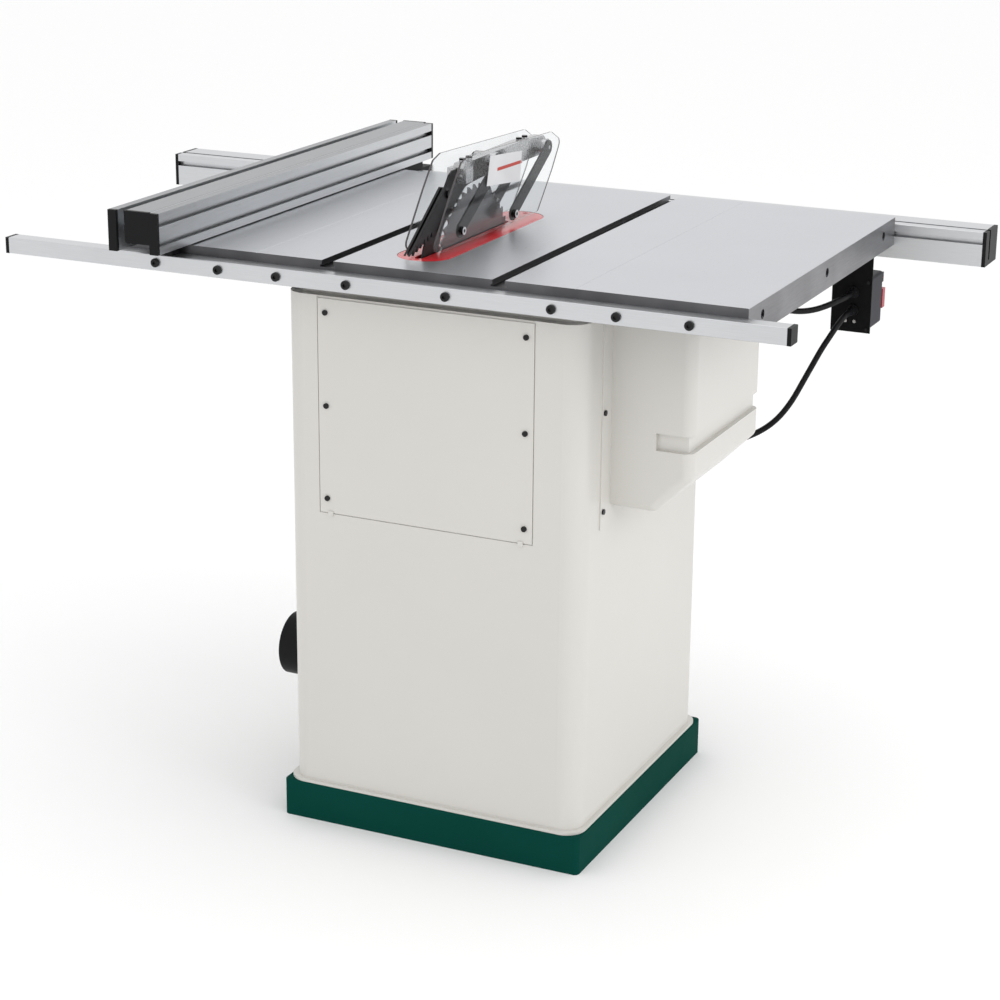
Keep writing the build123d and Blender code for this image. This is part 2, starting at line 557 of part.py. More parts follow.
with BuildPart() as arbor_carriage:
    block((ELEVATION_SHAFT_X - 16, ELEVATION_SHAFT_X + 16), (-100.0, 98.0), WEB_Z)
    rod_x((ELEVATION_SHAFT_X - 26, BLADE_X - 10), ARBOR_Y, ARBOR_Z, 20)
    for arm_y in ((-100.0, -82.0), (62.0, 98.0)):
        block((MOTOR_PLATE_X[0], ELEVATION_SHAFT_X - 15), arm_y, (WEB_Z[0], TABLE_TOP - 72))
    block(MOTOR_PLATE_X, (-100.0, 98.0), (MOTOR_Z - 70, TABLE_TOP - 72))
    for guide_y in GUIDE_YS:
        rod_z(ELEVATION_SHAFT_X, guide_y, (WEB_Z[0] - 1, WEB_Z[1] + 1), GUIDE_RADIUS + RUNNING,
              mode=Mode.SUBTRACT)
    rod_z(ELEVATION_SHAFT_X, SCREW_Y, (WEB_Z[0] - 1, WEB_Z[1] + 1), 6.3, mode=Mode.SUBTRACT)
    rod_x((ELEVATION_SHAFT_X - 30, BLADE_X), ARBOR_Y, ARBOR_Z, 9 + RUNNING, mode=Mode.SUBTRACT)
    rod_x((MOTOR_PLATE_X[0] - 1, MOTOR_PLATE_X[1] + 1), MOTOR_Y, MOTOR_Z, 13, mode=Mode.SUBTRACT)

with BuildPart() as motor_body:
    rod_x((MOTOR_RIGHT - MOTOR_LENGTH + 30, MOTOR_RIGHT), MOTOR_Y, MOTOR_Z, MOTOR_RADIUS - 4)
    rod_x((MOTOR_RIGHT - MOTOR_LENGTH, MOTOR_RIGHT - MOTOR_LENGTH + 30), MOTOR_Y, MOTOR_Z, MOTOR_RADIUS - 1)
    fillet(motor_body.faces().sort_by(Axis.X)[0].edges(), 8)
    with BuildSketch(across(MOTOR_RIGHT - MOTOR_LENGTH + 45)):
        with Locations((MOTOR_Y, MOTOR_Z)):
            with PolarLocations(MOTOR_RADIUS - 3, 28):
                Rectangle(6, 3)
    extrude(amount=MOTOR_LENGTH - 60)
    rod_x((MOTOR_RIGHT - 60, MOTOR_RIGHT + 1), MOTOR_Y, MOTOR_Z, 9.5, mode=Mode.SUBTRACT)


def belt_face(slack):
    """The area inside the belt's run, grown all round by slack."""
    dy, dz = MOTOR_Y - ARBOR_Y, MOTOR_Z - ARBOR_Z
    reach = hypot(dy, dz)
    small, large = ARBOR_PULLEY_RADIUS + slack, MOTOR_PULLEY_RADIUS + slack
    lean = degrees(atan2(large - small, reach))
    heading = degrees(atan2(dz, dy))
    with Locations((ARBOR_Y, ARBOR_Z)):
        Circle(small)
    with Locations((MOTOR_Y, MOTOR_Z)):
        Circle(large)
    corners = []
    for side in (1, -1):
        turn = radians(heading + side * (90 + lean))
        corners.append([(ARBOR_Y + small * cos(turn), ARBOR_Z + small * sin(turn)),
                        (MOTOR_Y + large * cos(turn), MOTOR_Z + large * sin(turn))])
    with BuildLine() as sides:
        Polyline(corners[0][0], corners[0][1], corners[1][1], corners[1][0], close=True)
    make_face(sides.line.edges())


BELT_GAP = 0.3

with BuildPart() as drive_belt:
    with BuildSketch(across(BELT_X)):
        belt_face(BELT_GAP + BELT_THICKNESS)
    extrude(amount=BELT_WIDTH)
    with BuildSketch(across(BELT_X)):
        belt_face(BELT_GAP)
    extrude(amount=BELT_WIDTH, mode=Mode.SUBTRACT)

with BuildPart() as motor_pulley:
    rod_x((MOTOR_RIGHT - 59, BELT_X + BELT_WIDTH + 2), MOTOR_Y, MOTOR_Z, 9.5 - RUNNING)
    rod_x((BELT_X, BELT_X + BELT_WIDTH), MOTOR_Y, MOTOR_Z, MOTOR_PULLEY_RADIUS)

# ---------------------------------------------------------------- blade and arbor
with BuildPart() as arbor_shaft:
    rod_x((BELT_X - 1, BLADE_X - 8), ARBOR_Y, ARBOR_Z, 9)
    rod_x((BLADE_X - 8, BLADE_X + 19), ARBOR_Y, ARBOR_Z, 7.9)
    rod_x((BELT_X, BELT_X + BELT_WIDTH), ARBOR_Y, ARBOR_Z, ARBOR_PULLEY_RADIUS)

with BuildPart() as saw_blade:
    with BuildSketch(across(BLADE_X - BLADE_PLATE / 2)):
        with BuildLine():
            tooth_points = []
            for tooth in range(BLADE_TEETH):
                for share, depth in ((0.0, 0.0), (0.18, 1.5), (0.62, 7.5), (0.86, 9.0), (0.96, 6.5)):
                    radius = BLADE_RADIUS - depth
                    turn = radians(360 * (tooth + share) / BLADE_TEETH)
                    tooth_points.append((ARBOR_Y + radius * cos(turn), ARBOR_Z + radius * sin(turn)))
            Polyline(*tooth_points, close=True)
        make_face()
        with Locations((ARBOR_Y, ARBOR_Z)):
            Circle(7.94, mode=Mode.SUBTRACT)
            with PolarLocations(BLADE_RADIUS - 24, 4, start_angle=20):
                Circle(3, mode=Mode.SUBTRACT)
    extrude(amount=BLADE_PLATE)

with BuildPart() as arbor_flanges:
    for flange_x in ((BLADE_X - 7.5, BLADE_X - BLADE_PLATE / 2), (BLADE_X + BLADE_PLATE / 2, BLADE_X + 6.5)):
        rod_x(flange_x, ARBOR_Y, ARBOR_Z, 25)
    with BuildSketch(across(BLADE_X + 6.5)):
        with Locations((ARBOR_Y, ARBOR_Z)):
            RegularPolygon(11, 6, major_radius=False)
    extrude(amount=9)
    rod_x((BLADE_X - 8, BLADE_X + 16), ARBOR_Y, ARBOR_Z, 7.94, mode=Mode.SUBTRACT)


# ---------------------------------------------------------------- handwheels and drives
def handwheel(face):
    """Spoked handwheel on a plane whose normal points at the operator."""
    with BuildSketch(face) as rim:
        Circle(WHEEL_RADIUS)
        Circle(WHEEL_RADIUS - 16, mode=Mode.SUBTRACT)
    extrude(rim.sketch, amount=15)
    fillet(edges().filter_by(GeomType.CIRCLE), 6)
    with BuildSketch(face) as hub:
        Circle(23)
    extrude(hub.sketch, amount=20)
    with BuildSketch(face.offset(3)) as spokes:
        with PolarLocations(44, 3, start_angle=30):
            Rectangle(76, 16)
    extrude(spokes.sketch, amount=8)
    with BuildSketch(face) as bore:
        Circle(SHAFT_RADIUS)
    extrude(bore.sketch, amount=20, mode=Mode.SUBTRACT)
    with BuildSketch(face) as handle_hole:
        with Locations((0, -(WHEEL_RADIUS - 8))):
            Circle(3.5)
    extrude(handle_hole.sketch, amount=15, mode=Mode.SUBTRACT)


def wheel_handle(face):
    """Turned grip on its bolt, which screws into the wheel's rim."""
    centre = face.origin - face.y_dir * (WHEEL_RADIUS - 8)
    grip_face = Plane(origin=centre, x_dir=face.x_dir, z_dir=face.z_dir)
    for start, radius, length, taper in ((0, 3.4, 20, 0), (16, 9.0, 30, -8), (46, 13.2, 26, 12)):
        with BuildSketch(grip_face.offset(start)) as section:
            Circle(radius)
        extrude(section.sketch, amount=length, taper=taper)


def lock_knob(face):
    """Round knob with finger scallops in front of the wheel's hub."""
    with BuildSketch(face.offset(21)) as outline:
        Circle(19)
        with PolarLocations(21, 8):
            Circle(4.5, mode=Mode.SUBTRACT)
    extrude(outline.sketch, amount=18)


def bevel_gear(face):
    """Mitre gear: its large end lies on the plane and it narrows along the normal."""
    with BuildSketch(face) as large_end:
        Circle(15.4)
    extrude(large_end.sketch, amount=7.5, taper=45)
    with BuildSketch(face) as tooth_gaps:
        with PolarLocations(15.5, 12):
            Rectangle(8, 3.4)
    extrude(tooth_gaps.sketch, amount=8, mode=Mode.SUBTRACT)
    with BuildSketch(face) as core:
        Circle(8.2)
    extrude(core.sketch, amount=6)


ELEVATION_WHEEL_Y = -272.0
ELEVATION_FACE = Plane(origin=(ELEVATION_SHAFT_X, ELEVATION_WHEEL_Y, ELEVATION_SHAFT_Z),
                       x_dir=(1, 0, 0), z_dir=(0, -1, 0))
TILT_WHEEL_X = 262.0
TILT_FACE = Plane(origin=(TILT_WHEEL_X, TILT_SHAFT_Y, TILT_SHAFT_Z), x_dir=(0, 1, 0), z_dir=(1, 0, 0))

with BuildPart() as elevation_handwheel:
    handwheel(ELEVATION_FACE)

with BuildPart() as elevation_handle:
    wheel_handle(ELEVATION_FACE)

with BuildPart() as elevation_knob:
    lock_knob(ELEVATION_FACE)

with BuildPart() as elevation_shaft:
    rod_y(ELEVATION_SHAFT_X, (ELEVATION_WHEEL_Y - 20, SCREW_Y - 16), ELEVATION_SHAFT_Z, SHAFT_RADIUS)
    bevel_gear(Plane(origin=(ELEVATION_SHAFT_X, SCREW_Y - 17, ELEVATION_SHAFT_Z),
                     x_dir=(1, 0, 0), z_dir=(0, 1, 0)))

with BuildPart() as elevation_screw:
    rod_z(ELEVATION_SHAFT_X, SCREW_Y, (ELEVATION_SHAFT_Z + 12, TOP_BAR_Z[1]), 6)
    bevel_gear(Plane(origin=(ELEVATION_SHAFT_X, SCREW_Y, ELEVATION_SHAFT_Z + 17),
                     x_dir=(1, 0, 0), z_dir=(0, 0, -1)))

with BuildPart() as tilt_handwheel:
    handwheel(TILT_FACE)

with BuildPart() as tilt_handle:
    wheel_handle(TILT_FACE)

with BuildPart() as tilt_knob:
    lock_knob(TILT_FACE)

with BuildPart() as tilt_worm:
    rod_x((BLADE_X - 26, TILT_WHEEL_X + 20), TILT_SHAFT_Y, TILT_SHAFT_Z, SHAFT_RADIUS)
    for ring in range(4):
        start = BLADE_X - 24 + 11.1 * ring
        rod_x((start, start + 5), TILT_SHAFT_Y, TILT_SHAFT_Z, WORM_RADIUS)
    rod_x((CABINET_HALF_X + 2, CABINET_HALF_X + 10), TILT_SHAFT_Y, TILT_SHAFT_Z, 18)

# ---------------------------------------------------------------- splitter and guard bracket
HUG_RADIUS = BLADE_RADIUS + 4.5
SPLITTER_X = (BLADE_X - SPLITTER_THICKNESS / 2, BLADE_X + SPLITTER_THICKNESS / 2)

with BuildPart() as splitter:
    with BuildSketch(across(BLADE_X - SPLITTER_THICKNESS / 2)):
        with BuildLine():
            hug = CenterArc((ARBOR_Y, ARBOR_Z), HUG_RADIUS, 0, 84)
            foot = Line(hug @ 0, (ARBOR_Y + HUG_RADIUS, TABLE_TOP - 75))
            Polyline(foot @ 1, (187, TABLE_TOP - 75), (187, TABLE_TOP - 4), (180, TABLE_TOP + 14),
                     (98, TABLE_TOP + 106), (86, TABLE_TOP + 111), (-26, TABLE_TOP + 111),
                     (-26, TABLE_TOP + 86), hug @ 1)
        make_face()
    extrude(amount=SPLITTER_THICKNESS)
    # riveted pin that both pawls turn on
    rod_x((BLADE_X - 7, BLADE_X + 7), PAWL_PIVOT[0], PAWL_PIVOT[1], PIN_RADIUS)
    for head_x in (BLADE_X - 8.5, BLADE_X + 6):
        rod_x((head_x, head_x + 2.5), PAWL_PIVOT[0], PAWL_PIVOT[1], 6)

BRACKET_TOP = TABLE_TOP + 121
HOUSING = 13.0

with BuildPart() as guard_bracket:
    outline_x((BLADE_X - 8, BLADE_X + 8), [
        (-240, TABLE_TOP + 88), (62, TABLE_TOP + 88), (74, TABLE_TOP + 100), (62, BRACKET_TOP - 3),
        (-140, BRACKET_TOP), (-225, BRACKET_TOP - 4), (-240, TABLE_TOP + 104),
    ])
    for pivot in (FRONT_PIVOT, REAR_PIVOT):
        rod_x((BLADE_X - SHIELD_OFFSET + 5.4, BLADE_X + SHIELD_OFFSET - 5.4), pivot[0], pivot[1], HOUSING)
    block(SPLITTER_X, (-26.2, 90), (TABLE_TOP + 80, TABLE_TOP + 111.2), mode=Mode.SUBTRACT)
    for pivot in (FRONT_PIVOT, REAR_PIVOT):
        rod_x((BLADE_X - SHIELD_OFFSET + 1.8, BLADE_X + SHIELD_OFFSET - 1.8), pivot[0], pivot[1], PIN_RADIUS)
    for clamp_y in (30.0, 52.0, -150.0, -172.0):
        rod_z(BLADE_X, clamp_y, (BRACKET_TOP - 4, BRACKET_TOP + 3), 4.5)
    block((BLADE_X - 15, BLADE_X + 15), (48, 72), (TABLE_TOP + 90, TABLE_TOP + 112))
    block(SPLITTER_X, (40, 90), (TABLE_TOP + 80, TABLE_TOP + 112), mode=Mode.SUBTRACT)


# ---------------------------------------------------------------- guard arms, shields and pawls
def side_x(side, near, far):
    """Limits in x for a plate between two distances from the blade's plane, on either side of it."""
    limits = sorted((BLADE_X + side * near, BLADE_X + side * far))
    return (limits[0], limits[1])


def arm(side, start, end):
    """Link arm with an eye at its upper end, and the shield's pivot bolt at its lower end."""
    plate = side_x(side, SHIELD_OFFSET - 5.1, SHIELD_OFFSET - 5.1 + ARM_THICKNESS)
    length = hypot(end[0] - start[0], end[1] - start[1])
    lean = degrees(atan2(end[1] - start[1], end[0] - start[0]))
    with BuildSketch(across(plate[0])) as face:
        with Locations(((start[0] + end[0]) / 2, (start[1] + end[1]) / 2)):
            SlotCenterToCenter(length, ARM_WIDTH, rotation=lean)
        with Locations(start):
            Circle(PIN_RADIUS + RUNNING, mode=Mode.SUBTRACT)
    extrude(face.sketch, amount=ARM_THICKNESS)
    rod_x(side_x(side, SHIELD_OFFSET - 5.1, SHIELD_OFFSET + 3.5), end[0], end[1], PIN_RADIUS)
    rod_x(side_x(side, SHIELD_OFFSET + 1.9, SHIELD_OFFSET + 4.6), end[0], end[1], 6.5)


SHIELD_POINTS = [
    (198, 12), (138, 88), (104, 127), (80, 134), (-222, 124), (-258, 106), (-226, 64), (-172, 6), (170, 6),
]


def shield(side):
    """Clear side plate of the guard, leaning toward the operator."""
    plate = side_x(side, SHIELD_OFFSET - SHIELD_THICKNESS / 2, SHIELD_OFFSET + SHIELD_THICKNESS / 2)
    with BuildSketch(across(plate[0])) as face:
        with BuildLine():
            Polyline(*[(y, TABLE_TOP + z) for y, z in SHIELD_POINTS], close=True)
        make_face()
        fillet(face.vertices(), 9)
        with Locations(FRONT_ARM_END, REAR_ARM_END):
            Circle(PIN_RADIUS + RUNNING, mode=Mode.SUBTRACT)
    extrude(face.sketch, amount=SHIELD_THICKNESS)


def pawl(side):
    """Toothed anti-kickback plate beside the splitter, with its point to the rear."""
    plate = side_x(side, SPLITTER_THICKNESS / 2 + 0.6, SPLITTER_THICKNESS / 2 + 4.1)
    tip = (234.0, TABLE_TOP + 11)
    heel = (150.0, TABLE_TOP + 34)
    points = [(120, TABLE_TOP + 92), (102, TABLE_TOP + 88), (100, TABLE_TOP + 74), heel]
    tooth_count = 7
    for step in range(1, tooth_count):
        share = step / tooth_count
        edge_y = heel[0] + share * (tip[0] - heel[0])
        edge_z = heel[1] + share * (tip[1] - heel[1])
        points += [(edge_y, edge_z - 5), (edge_y + 1, edge_z + 4)]
    points.append(tip)
    outline_x(plate, points)
    rod_x((BLADE_X - 10, BLADE_X + 10), PAWL_PIVOT[0], PAWL_PIVOT[1], PIN_RADIUS + RUNNING,
          mode=Mode.SUBTRACT)


for side, hand in ((-1, "left"), (1, "right")):
    with BuildPart() as front_arm:
        arm(side, FRONT_PIVOT, FRONT_ARM_END)
    save(front_arm, f"guard_front_arm_{hand}")
    with BuildPart() as rear_arm:
        arm(side, REAR_PIVOT, REAR_ARM_END)
    save(rear_arm, f"guard_rear_arm_{hand}")
    with BuildPart() as guard_shield:
        shield(side)
    save(guard_shield, f"guard_shield_{hand}")
    with BuildPart() as kickback_pawl:
        pawl(side)
    save(kickback_pawl, f"kickback_pawl_{hand}")

# ---------------------------------------------------------------- fence
FENCE_TOP = FENCE_BOTTOM + FENCE_HEIGHT
FENCE_RIGHT = FENCE_LEFT + FENCE_WIDTH
FENCE_RUN = (FENCE_FRONT + CAP, FENCE_REAR - CAP)
BEAM_X = (FENCE_LEFT + FENCE_FACE, FENCE_LEFT + FENCE_FACE + 42.0)
BEAM_Z = (FENCE_BOTTOM + 14.0, FENCE_TOP + 1.0)
FACE_XS = ((FENCE_LEFT, FENCE_LEFT + FENCE_FACE), (FENCE_RIGHT - FENCE_FACE, FENCE_RIGHT))
T_SLOT_ZS = (FENCE_BOTTOM + 12.0, FENCE_BOTTOM + 41.0)

with BuildPart() as fence_faces:
    for side, face_x in zip((-1, 1), FACE_XS):
        block(face_x, FENCE_RUN, (FENCE_BOTTOM, FENCE_TOP))
        outer = face_x[0] if side < 0 else face_x[1]
        for slot_low in T_SLOT_ZS:
            mouth = sorted((outer, outer - side * 3.0))
            pocket = sorted((outer - side * 3.0, outer - side * 8.0))
            block(mouth, (FENCE_FRONT, FENCE_REAR), (slot_low, slot_low + 7.5), mode=Mode.SUBTRACT)
            block(pocket, (FENCE_FRONT, FENCE_REAR), (slot_low - 3, slot_low + 10.5), mode=Mode.SUBTRACT)

with BuildPart() as fence_beam:
    block(BEAM_X, FENCE_RUN, BEAM_Z)
    fillet(fence_beam.edges().filter_by(Axis.Y), 2)
    block((BEAM_X[0] + 3, BEAM_X[1] - 3), (FENCE_FRONT, FENCE_REAR), (BEAM_Z[0] + 3, BEAM_Z[1] - 3),
          mode=Mode.SUBTRACT)
    # spacers that hold the right-hand face off the beam
    for spacer in range(5):
        spacer_y = FENCE_RUN[0] + 40 + spacer * (FENCE_RUN[1] - FENCE_RUN[0] - 80) / 4
        rod_x((BEAM_X[1] - 0.5, FACE_XS[1][0]), spacer_y, sum(BEAM_Z) / 2, 9)

with BuildPart() as fence_caps:
    for cap_y in ((FENCE_FRONT, FENCE_FRONT + CAP), (FENCE_REAR - CAP, FENCE_REAR)):
        block(FACE_XS[0], cap_y, (FENCE_BOTTOM, FENCE_TOP))
        block(BEAM_X, cap_y, BEAM_Z)
        block(FACE_XS[1], cap_y, (FENCE_BOTTOM, FENCE_TOP))
    # glide that slides on the rear rail
    block((BEAM_X[0] + 6, BEAM_X[1] - 6), (REAR_RAIL_Y[0] + 2, REAR_RAIL_Y[1] - 2),
          (REAR_RAIL_TOP + 0.4, BEAM_Z[0]))

HEAD_X = (FENCE_LEFT + 1.0, FENCE_RIGHT - 1.0)
HEAD_FRONT = FRONT_RAIL_Y[0] - 44.0
LEVER_PIVOT = (HEAD_FRONT + 12, FRONT_RAIL_TOP - 24)

with BuildPart() as fence_head:
    block(HEAD_X, (FRONT_RAIL_Y[0] - 8, TABLE_FRONT - 3), (FRONT_RAIL_TOP + 0.4, FENCE_BOTTOM))
    block(BEAM_X, (FRONT_RAIL_Y[0] - 8, TABLE_FRONT - 3), (FENCE_BOTTOM - 1, BEAM_Z[0]))
    block(HEAD_X, (HEAD_FRONT, FRONT_RAIL_Y[0] - 1.5), (FRONT_RAIL_TOP - 42, FRONT_RAIL_TOP + 2))
    middle = sum(BEAM_X) / 2
    block((middle - 24, middle + 24), (HEAD_FRONT - 1, FRONT_RAIL_Y[0] - 20),
          (FRONT_RAIL_TOP - 43, FRONT_RAIL_TOP - 5), mode=Mode.SUBTRACT)
    rod_x((middle - 30, middle + 30), LEVER_PIVOT[0], LEVER_PIVOT[1], 4)

with BuildPart() as fence_lever:
    rod_x((middle - 20, middle + 20), LEVER_PIVOT[0], LEVER_PIVOT[1], 10)
    outline_x((middle - 15, middle + 15), [
        (LEVER_PIVOT[0] - 4, LEVER_PIVOT[1] - 8), (LEVER_PIVOT[0] + 4, LEVER_PIVOT[1] - 8),
        (LEVER_PIVOT[0] - 16, LEVER_PIVOT[1] - 118), (LEVER_PIVOT[0] - 34, LEVER_PIVOT[1] - 118),
    ])
    rod_x((middle - 24, middle + 24), LEVER_PIVOT[0] - 25, LEVER_PIVOT[1] - 118, 13)
    rod_x((middle - 30, middle + 30), LEVER_PIVOT[0], LEVER_PIVOT[1], 4 + RUNNING, mode=Mode.SUBTRACT)

# ---------------------------------------------------------------- dust chute and port
with BuildPart() as dust_chute:
    wall = CABINET_HALF_X - SHEET
    outline_y((-CABINET_HALF_Y + SHEET + 0.5, CABINET_HALF_Y - SHEET - 0.5), [
        (-wall, 385), (-wall, 382), (wall, PORT_Z - PORT_RADIUS - 8), (wall, PORT_Z - PORT_RADIUS - 5),
    ])
    with BuildSketch(level(0)):
        RectangleRounded(2 * (CABINET_HALF_X - SHEET), 2 * (CABINET_HALF_Y - SHEET), CABINET_RADIUS - SHEET)
    extrude(amount=CABINET_TOP, mode=Mode.INTERSECT)

with BuildPart() as dust_port:
    rod_x((CABINET_HALF_X, PORT_END), PORT_Y, PORT_Z, PORT_RADIUS)
    rod_x((CABINET_HALF_X, CABINET_HALF_X + 4), PORT_Y, PORT_Z, PORT_RADIUS + 14)
    rod_x((CABINET_HALF_X - 1, PORT_END + 1), PORT_Y, PORT_Z, PORT_RADIUS - 3, mode=Mode.SUBTRACT)

# ---------------------------------------------------------------- switch
SWITCH_BOX_Y = (SWITCH_PLATE_Y - 60, SWITCH_PLATE_Y - 2)
SWITCH_BOX_Z = (711.5, 797.0)
SWITCH_MIDDLE = (SWITCH_LEFT + SWITCH_RIGHT) / 2
PADDLE_PIVOT = (SWITCH_BOX_Y[0] - 7, 785.0)
LUG_OFFSET = 5.0
BUTTON_Z = 748.0
BUTTON_RADIUS = 11.0

with BuildPart() as switch_bracket:
    block((SWITCH_LEFT, SWITCH_RIGHT), (SWITCH_PLATE_Y - 2, SWITCH_PLATE_Y), (SWITCH_BOTTOM, SWITCH_TOP))
    block((SWITCH_LEFT, SWITCH_RIGHT), (SWITCH_PLATE_Y - 60, SWITCH_PLATE_Y - 2),
          (SWITCH_TOP - 2.5, SWITCH_TOP))
    rod_z(SWITCH_MIDDLE, SWITCH_PLATE_Y - 46, (SWITCH_TOP - 7, SWITCH_TOP - 2), 6)
    for screw_x in (SWITCH_LEFT + 6, SWITCH_RIGHT - 6):
        for screw_z in (SWITCH_BOTTOM + 6, SWITCH_BOX_Z[1] - 8):
            rod_y(screw_x, (SWITCH_PLATE_Y - 1, SWITCH_PLATE_Y + 2), screw_z, 3.6)
    for screw_x in (SWITCH_MIDDLE - 7, SWITCH_MIDDLE + 8):
        rod_y(screw_x, (SWITCH_PLATE_Y - 1, SWITCH_PLATE_Y + 2), SWITCH_BOTTOM + 18, 3)

with BuildPart() as switch_box:
    block((SWITCH_LEFT + 1, SWITCH_RIGHT - 1), SWITCH_BOX_Y, SWITCH_BOX_Z)
    fillet(switch_box.edges().filter_by(Axis.Y), 5)
    for lug_x in (SWITCH_LEFT + LUG_OFFSET, SWITCH_RIGHT - LUG_OFFSET):
        block((lug_x - 2.5, lug_x + 2.5), (SWITCH_BOX_Y[0] - 12, SWITCH_BOX_Y[0] + 1), (777, 793))
    rod_x((SWITCH_LEFT, SWITCH_RIGHT), PADDLE_PIVOT[0], PADDLE_PIVOT[1], 2 + RUNNING, mode=Mode.SUBTRACT)
    rod_y(SWITCH_MIDDLE, (SWITCH_BOX_Y[0] - 1, SWITCH_BOX_Y[0] + 12), BUTTON_Z, BUTTON_RADIUS + 0.3,
          mode=Mode.SUBTRACT)

with BuildPart() as stop_paddle:
    block((SWITCH_LEFT + 9, SWITCH_RIGHT - 9), (SWITCH_BOX_Y[0] - 14, SWITCH_BOX_Y[0] - 8), (717, 777))
    block((SWITCH_LEFT + 9, SWITCH_RIGHT - 9), (SWITCH_BOX_Y[0] - 14, SWITCH_BOX_Y[0] - 2), (775, 789))
    fillet(stop_paddle.edges().filter_by(Axis.Y), 4)
    block((SWITCH_LEFT + 3, SWITCH_RIGHT - 3), (SWITCH_BOX_Y[0] - 27, SWITCH_BOX_Y[0] - 13), (732, 764))
    rod_y(SWITCH_MIDDLE, (SWITCH_BOX_Y[0] - 28, SWITCH_BOX_Y[0] - 1), BUTTON_Z, BUTTON_RADIUS + 3,
          mode=Mode.SUBTRACT)
    rod_x((SWITCH_LEFT + LUG_OFFSET - 2, SWITCH_RIGHT - LUG_OFFSET + 2), PADDLE_PIVOT[0], PADDLE_PIVOT[1], 2)

with BuildPart() as start_button:
    rod_y(SWITCH_MIDDLE, (SWITCH_BOX_Y[0] - 16, SWITCH_BOX_Y[0] + 6), BUTTON_Z, BUTTON_RADIUS)

# ---------------------------------------------------------------- cords
GLAND_LENGTH = 18.0
GLAND_Y = SWITCH_PLATE_Y + GLAND_LENGTH
SUPPLY_GLAND_Z = 741.5
MOTOR_GLAND_Z = 771.0
GLAND_X = -427.0
SIDE_GLAND = (-CABINET_HALF_X - GLAND_LENGTH, -212.0, 800.0)
PLUG_NOSE = (9.0, -325.0, 11.0)

SUPPLY_ROUTE = [
    (GLAND_X, GLAND_Y, SUPPLY_GLAND_Z), (-427, -384, 741.5), (-425.4, -366.5, 737.4), (-421.7, -350.6, 727.8),
    (-415.6, -338.9, 713.9), (-406, -331.7, 695.5), (-395, -328, 671.6), (-380.5, -325, 641), (-363, -322, 604),
    (-341.5, -319, 573), (-316, -316, 551), (-286, -312, 535), (-251, -308, 518), (-217, -306, 490),
    (-192, -305, 446), (-180, -304, 378), (-176, -303, 296), (-175, -305, 212), (-171, -308, 136),
    (-161, -313, 78), (-142, -319, 36), (-116, -323.5, 12), (-86, -326.5, 4.75), (-58, -327.2, 4.75),
]
TAIL_ROUTE = [(-58, -327.2, 14.25), (-36, -326.6, 13.6), (-13, -325, 11), PLUG_NOSE]
MOTOR_ROUTE = [
    (GLAND_X, GLAND_Y, MOTOR_GLAND_Z), (-427, -382, 771), (-421.5, -361, 769.5), (-411, -340, 765),
    (-396, -318, 760.5), (-377, -297, 760), (-357, -276, 766), (-337, -256, 776.5), (-320, -240, 786),
    (-307, -229, 794), (-293, -219.5, 798.5), (-277.5, -213.5, 800),
    (SIDE_GLAND[0] - 0.5, SIDE_GLAND[1], SIDE_GLAND[2]),
]


def corner_radii(route, name):
    """Arc radius at each inner point: 0.45 of the shorter run over the tangent of half the turn."""
    radii = []
    for before, here, after in zip(route, route[1:], route[2:]):
        arriving = Vector(*here) - Vector(*before)
        leaving = Vector(*after) - Vector(*here)
        turn = arriving.get_angle(leaving)
        radii.append(0.45 * min(arriving.length, leaving.length) / tan(radians(turn / 2)))
    print(name, "corner radii", [round(radius) for radius in radii])
    return radii


def tube(route, name):
    """Cord of straight runs joined by tangent arcs."""
    with BuildLine() as path:
        FilletPolyline(*route, radius=corner_radii(route, name))
    run = path.wires()[0]
    with BuildSketch(Plane(origin=run @ 0, z_dir=run % 0)) as section:
        Circle(CORD_RADIUS)
    sweep(section.sketch, path=run)
    print(name, "length", round(run.length))
    return run.length * pi * CORD_RADIUS ** 2


with BuildPart() as supply_cord:
    supply_volume = tube(SUPPLY_ROUTE, "supply_cord")
    supply_volume += tube(TAIL_ROUTE, "supply_cord tail")

with BuildPart() as motor_cord:
    motor_volume = tube(MOTOR_ROUTE, "motor_cord")

for cord, volume in ((supply_cord, supply_volume), (motor_cord, motor_volume)):
    print("cord volume share", round(cord.part.volume / volume, 3))

with BuildPart() as supply_cord_coil:
    with BuildSketch(level(0)):
        with Locations(COIL_CENTRE):
            Circle(COIL_RADIUS + 2 * CORD_RADIUS)
            Circle(COIL_RADIUS - 2 * CORD_RADIUS, mode=Mode.SUBTRACT)
    extrude(amount=4 * CORD_RADIUS)
    fillet(supply_cord_coil.edges().filter_by(GeomType.CIRCLE), 4)

with BuildPart() as cord_glands:
    for gland_z in (SUPPLY_GLAND_Z, MOTOR_GLAND_Z):
        with BuildSketch(along(SWITCH_PLATE_Y)):
            with Locations((GLAND_X, gland_z)):
                Circle(9.5)
        extrude(amount=-5)
        with BuildSketch(along(SWITCH_PLATE_Y)):
            with Locations((GLAND_X, gland_z)):
                Circle(8)
        extrude(amount=-GLAND_LENGTH, taper=8)
    with BuildSketch(Plane(origin=(-CABINET_HALF_X, SIDE_GLAND[1], SIDE_GLAND[2]),
                           x_dir=(0, 1, 0), z_dir=(-1, 0, 0))):
        Circle(8.5)
    extrude(amount=GLAND_LENGTH, taper=9)

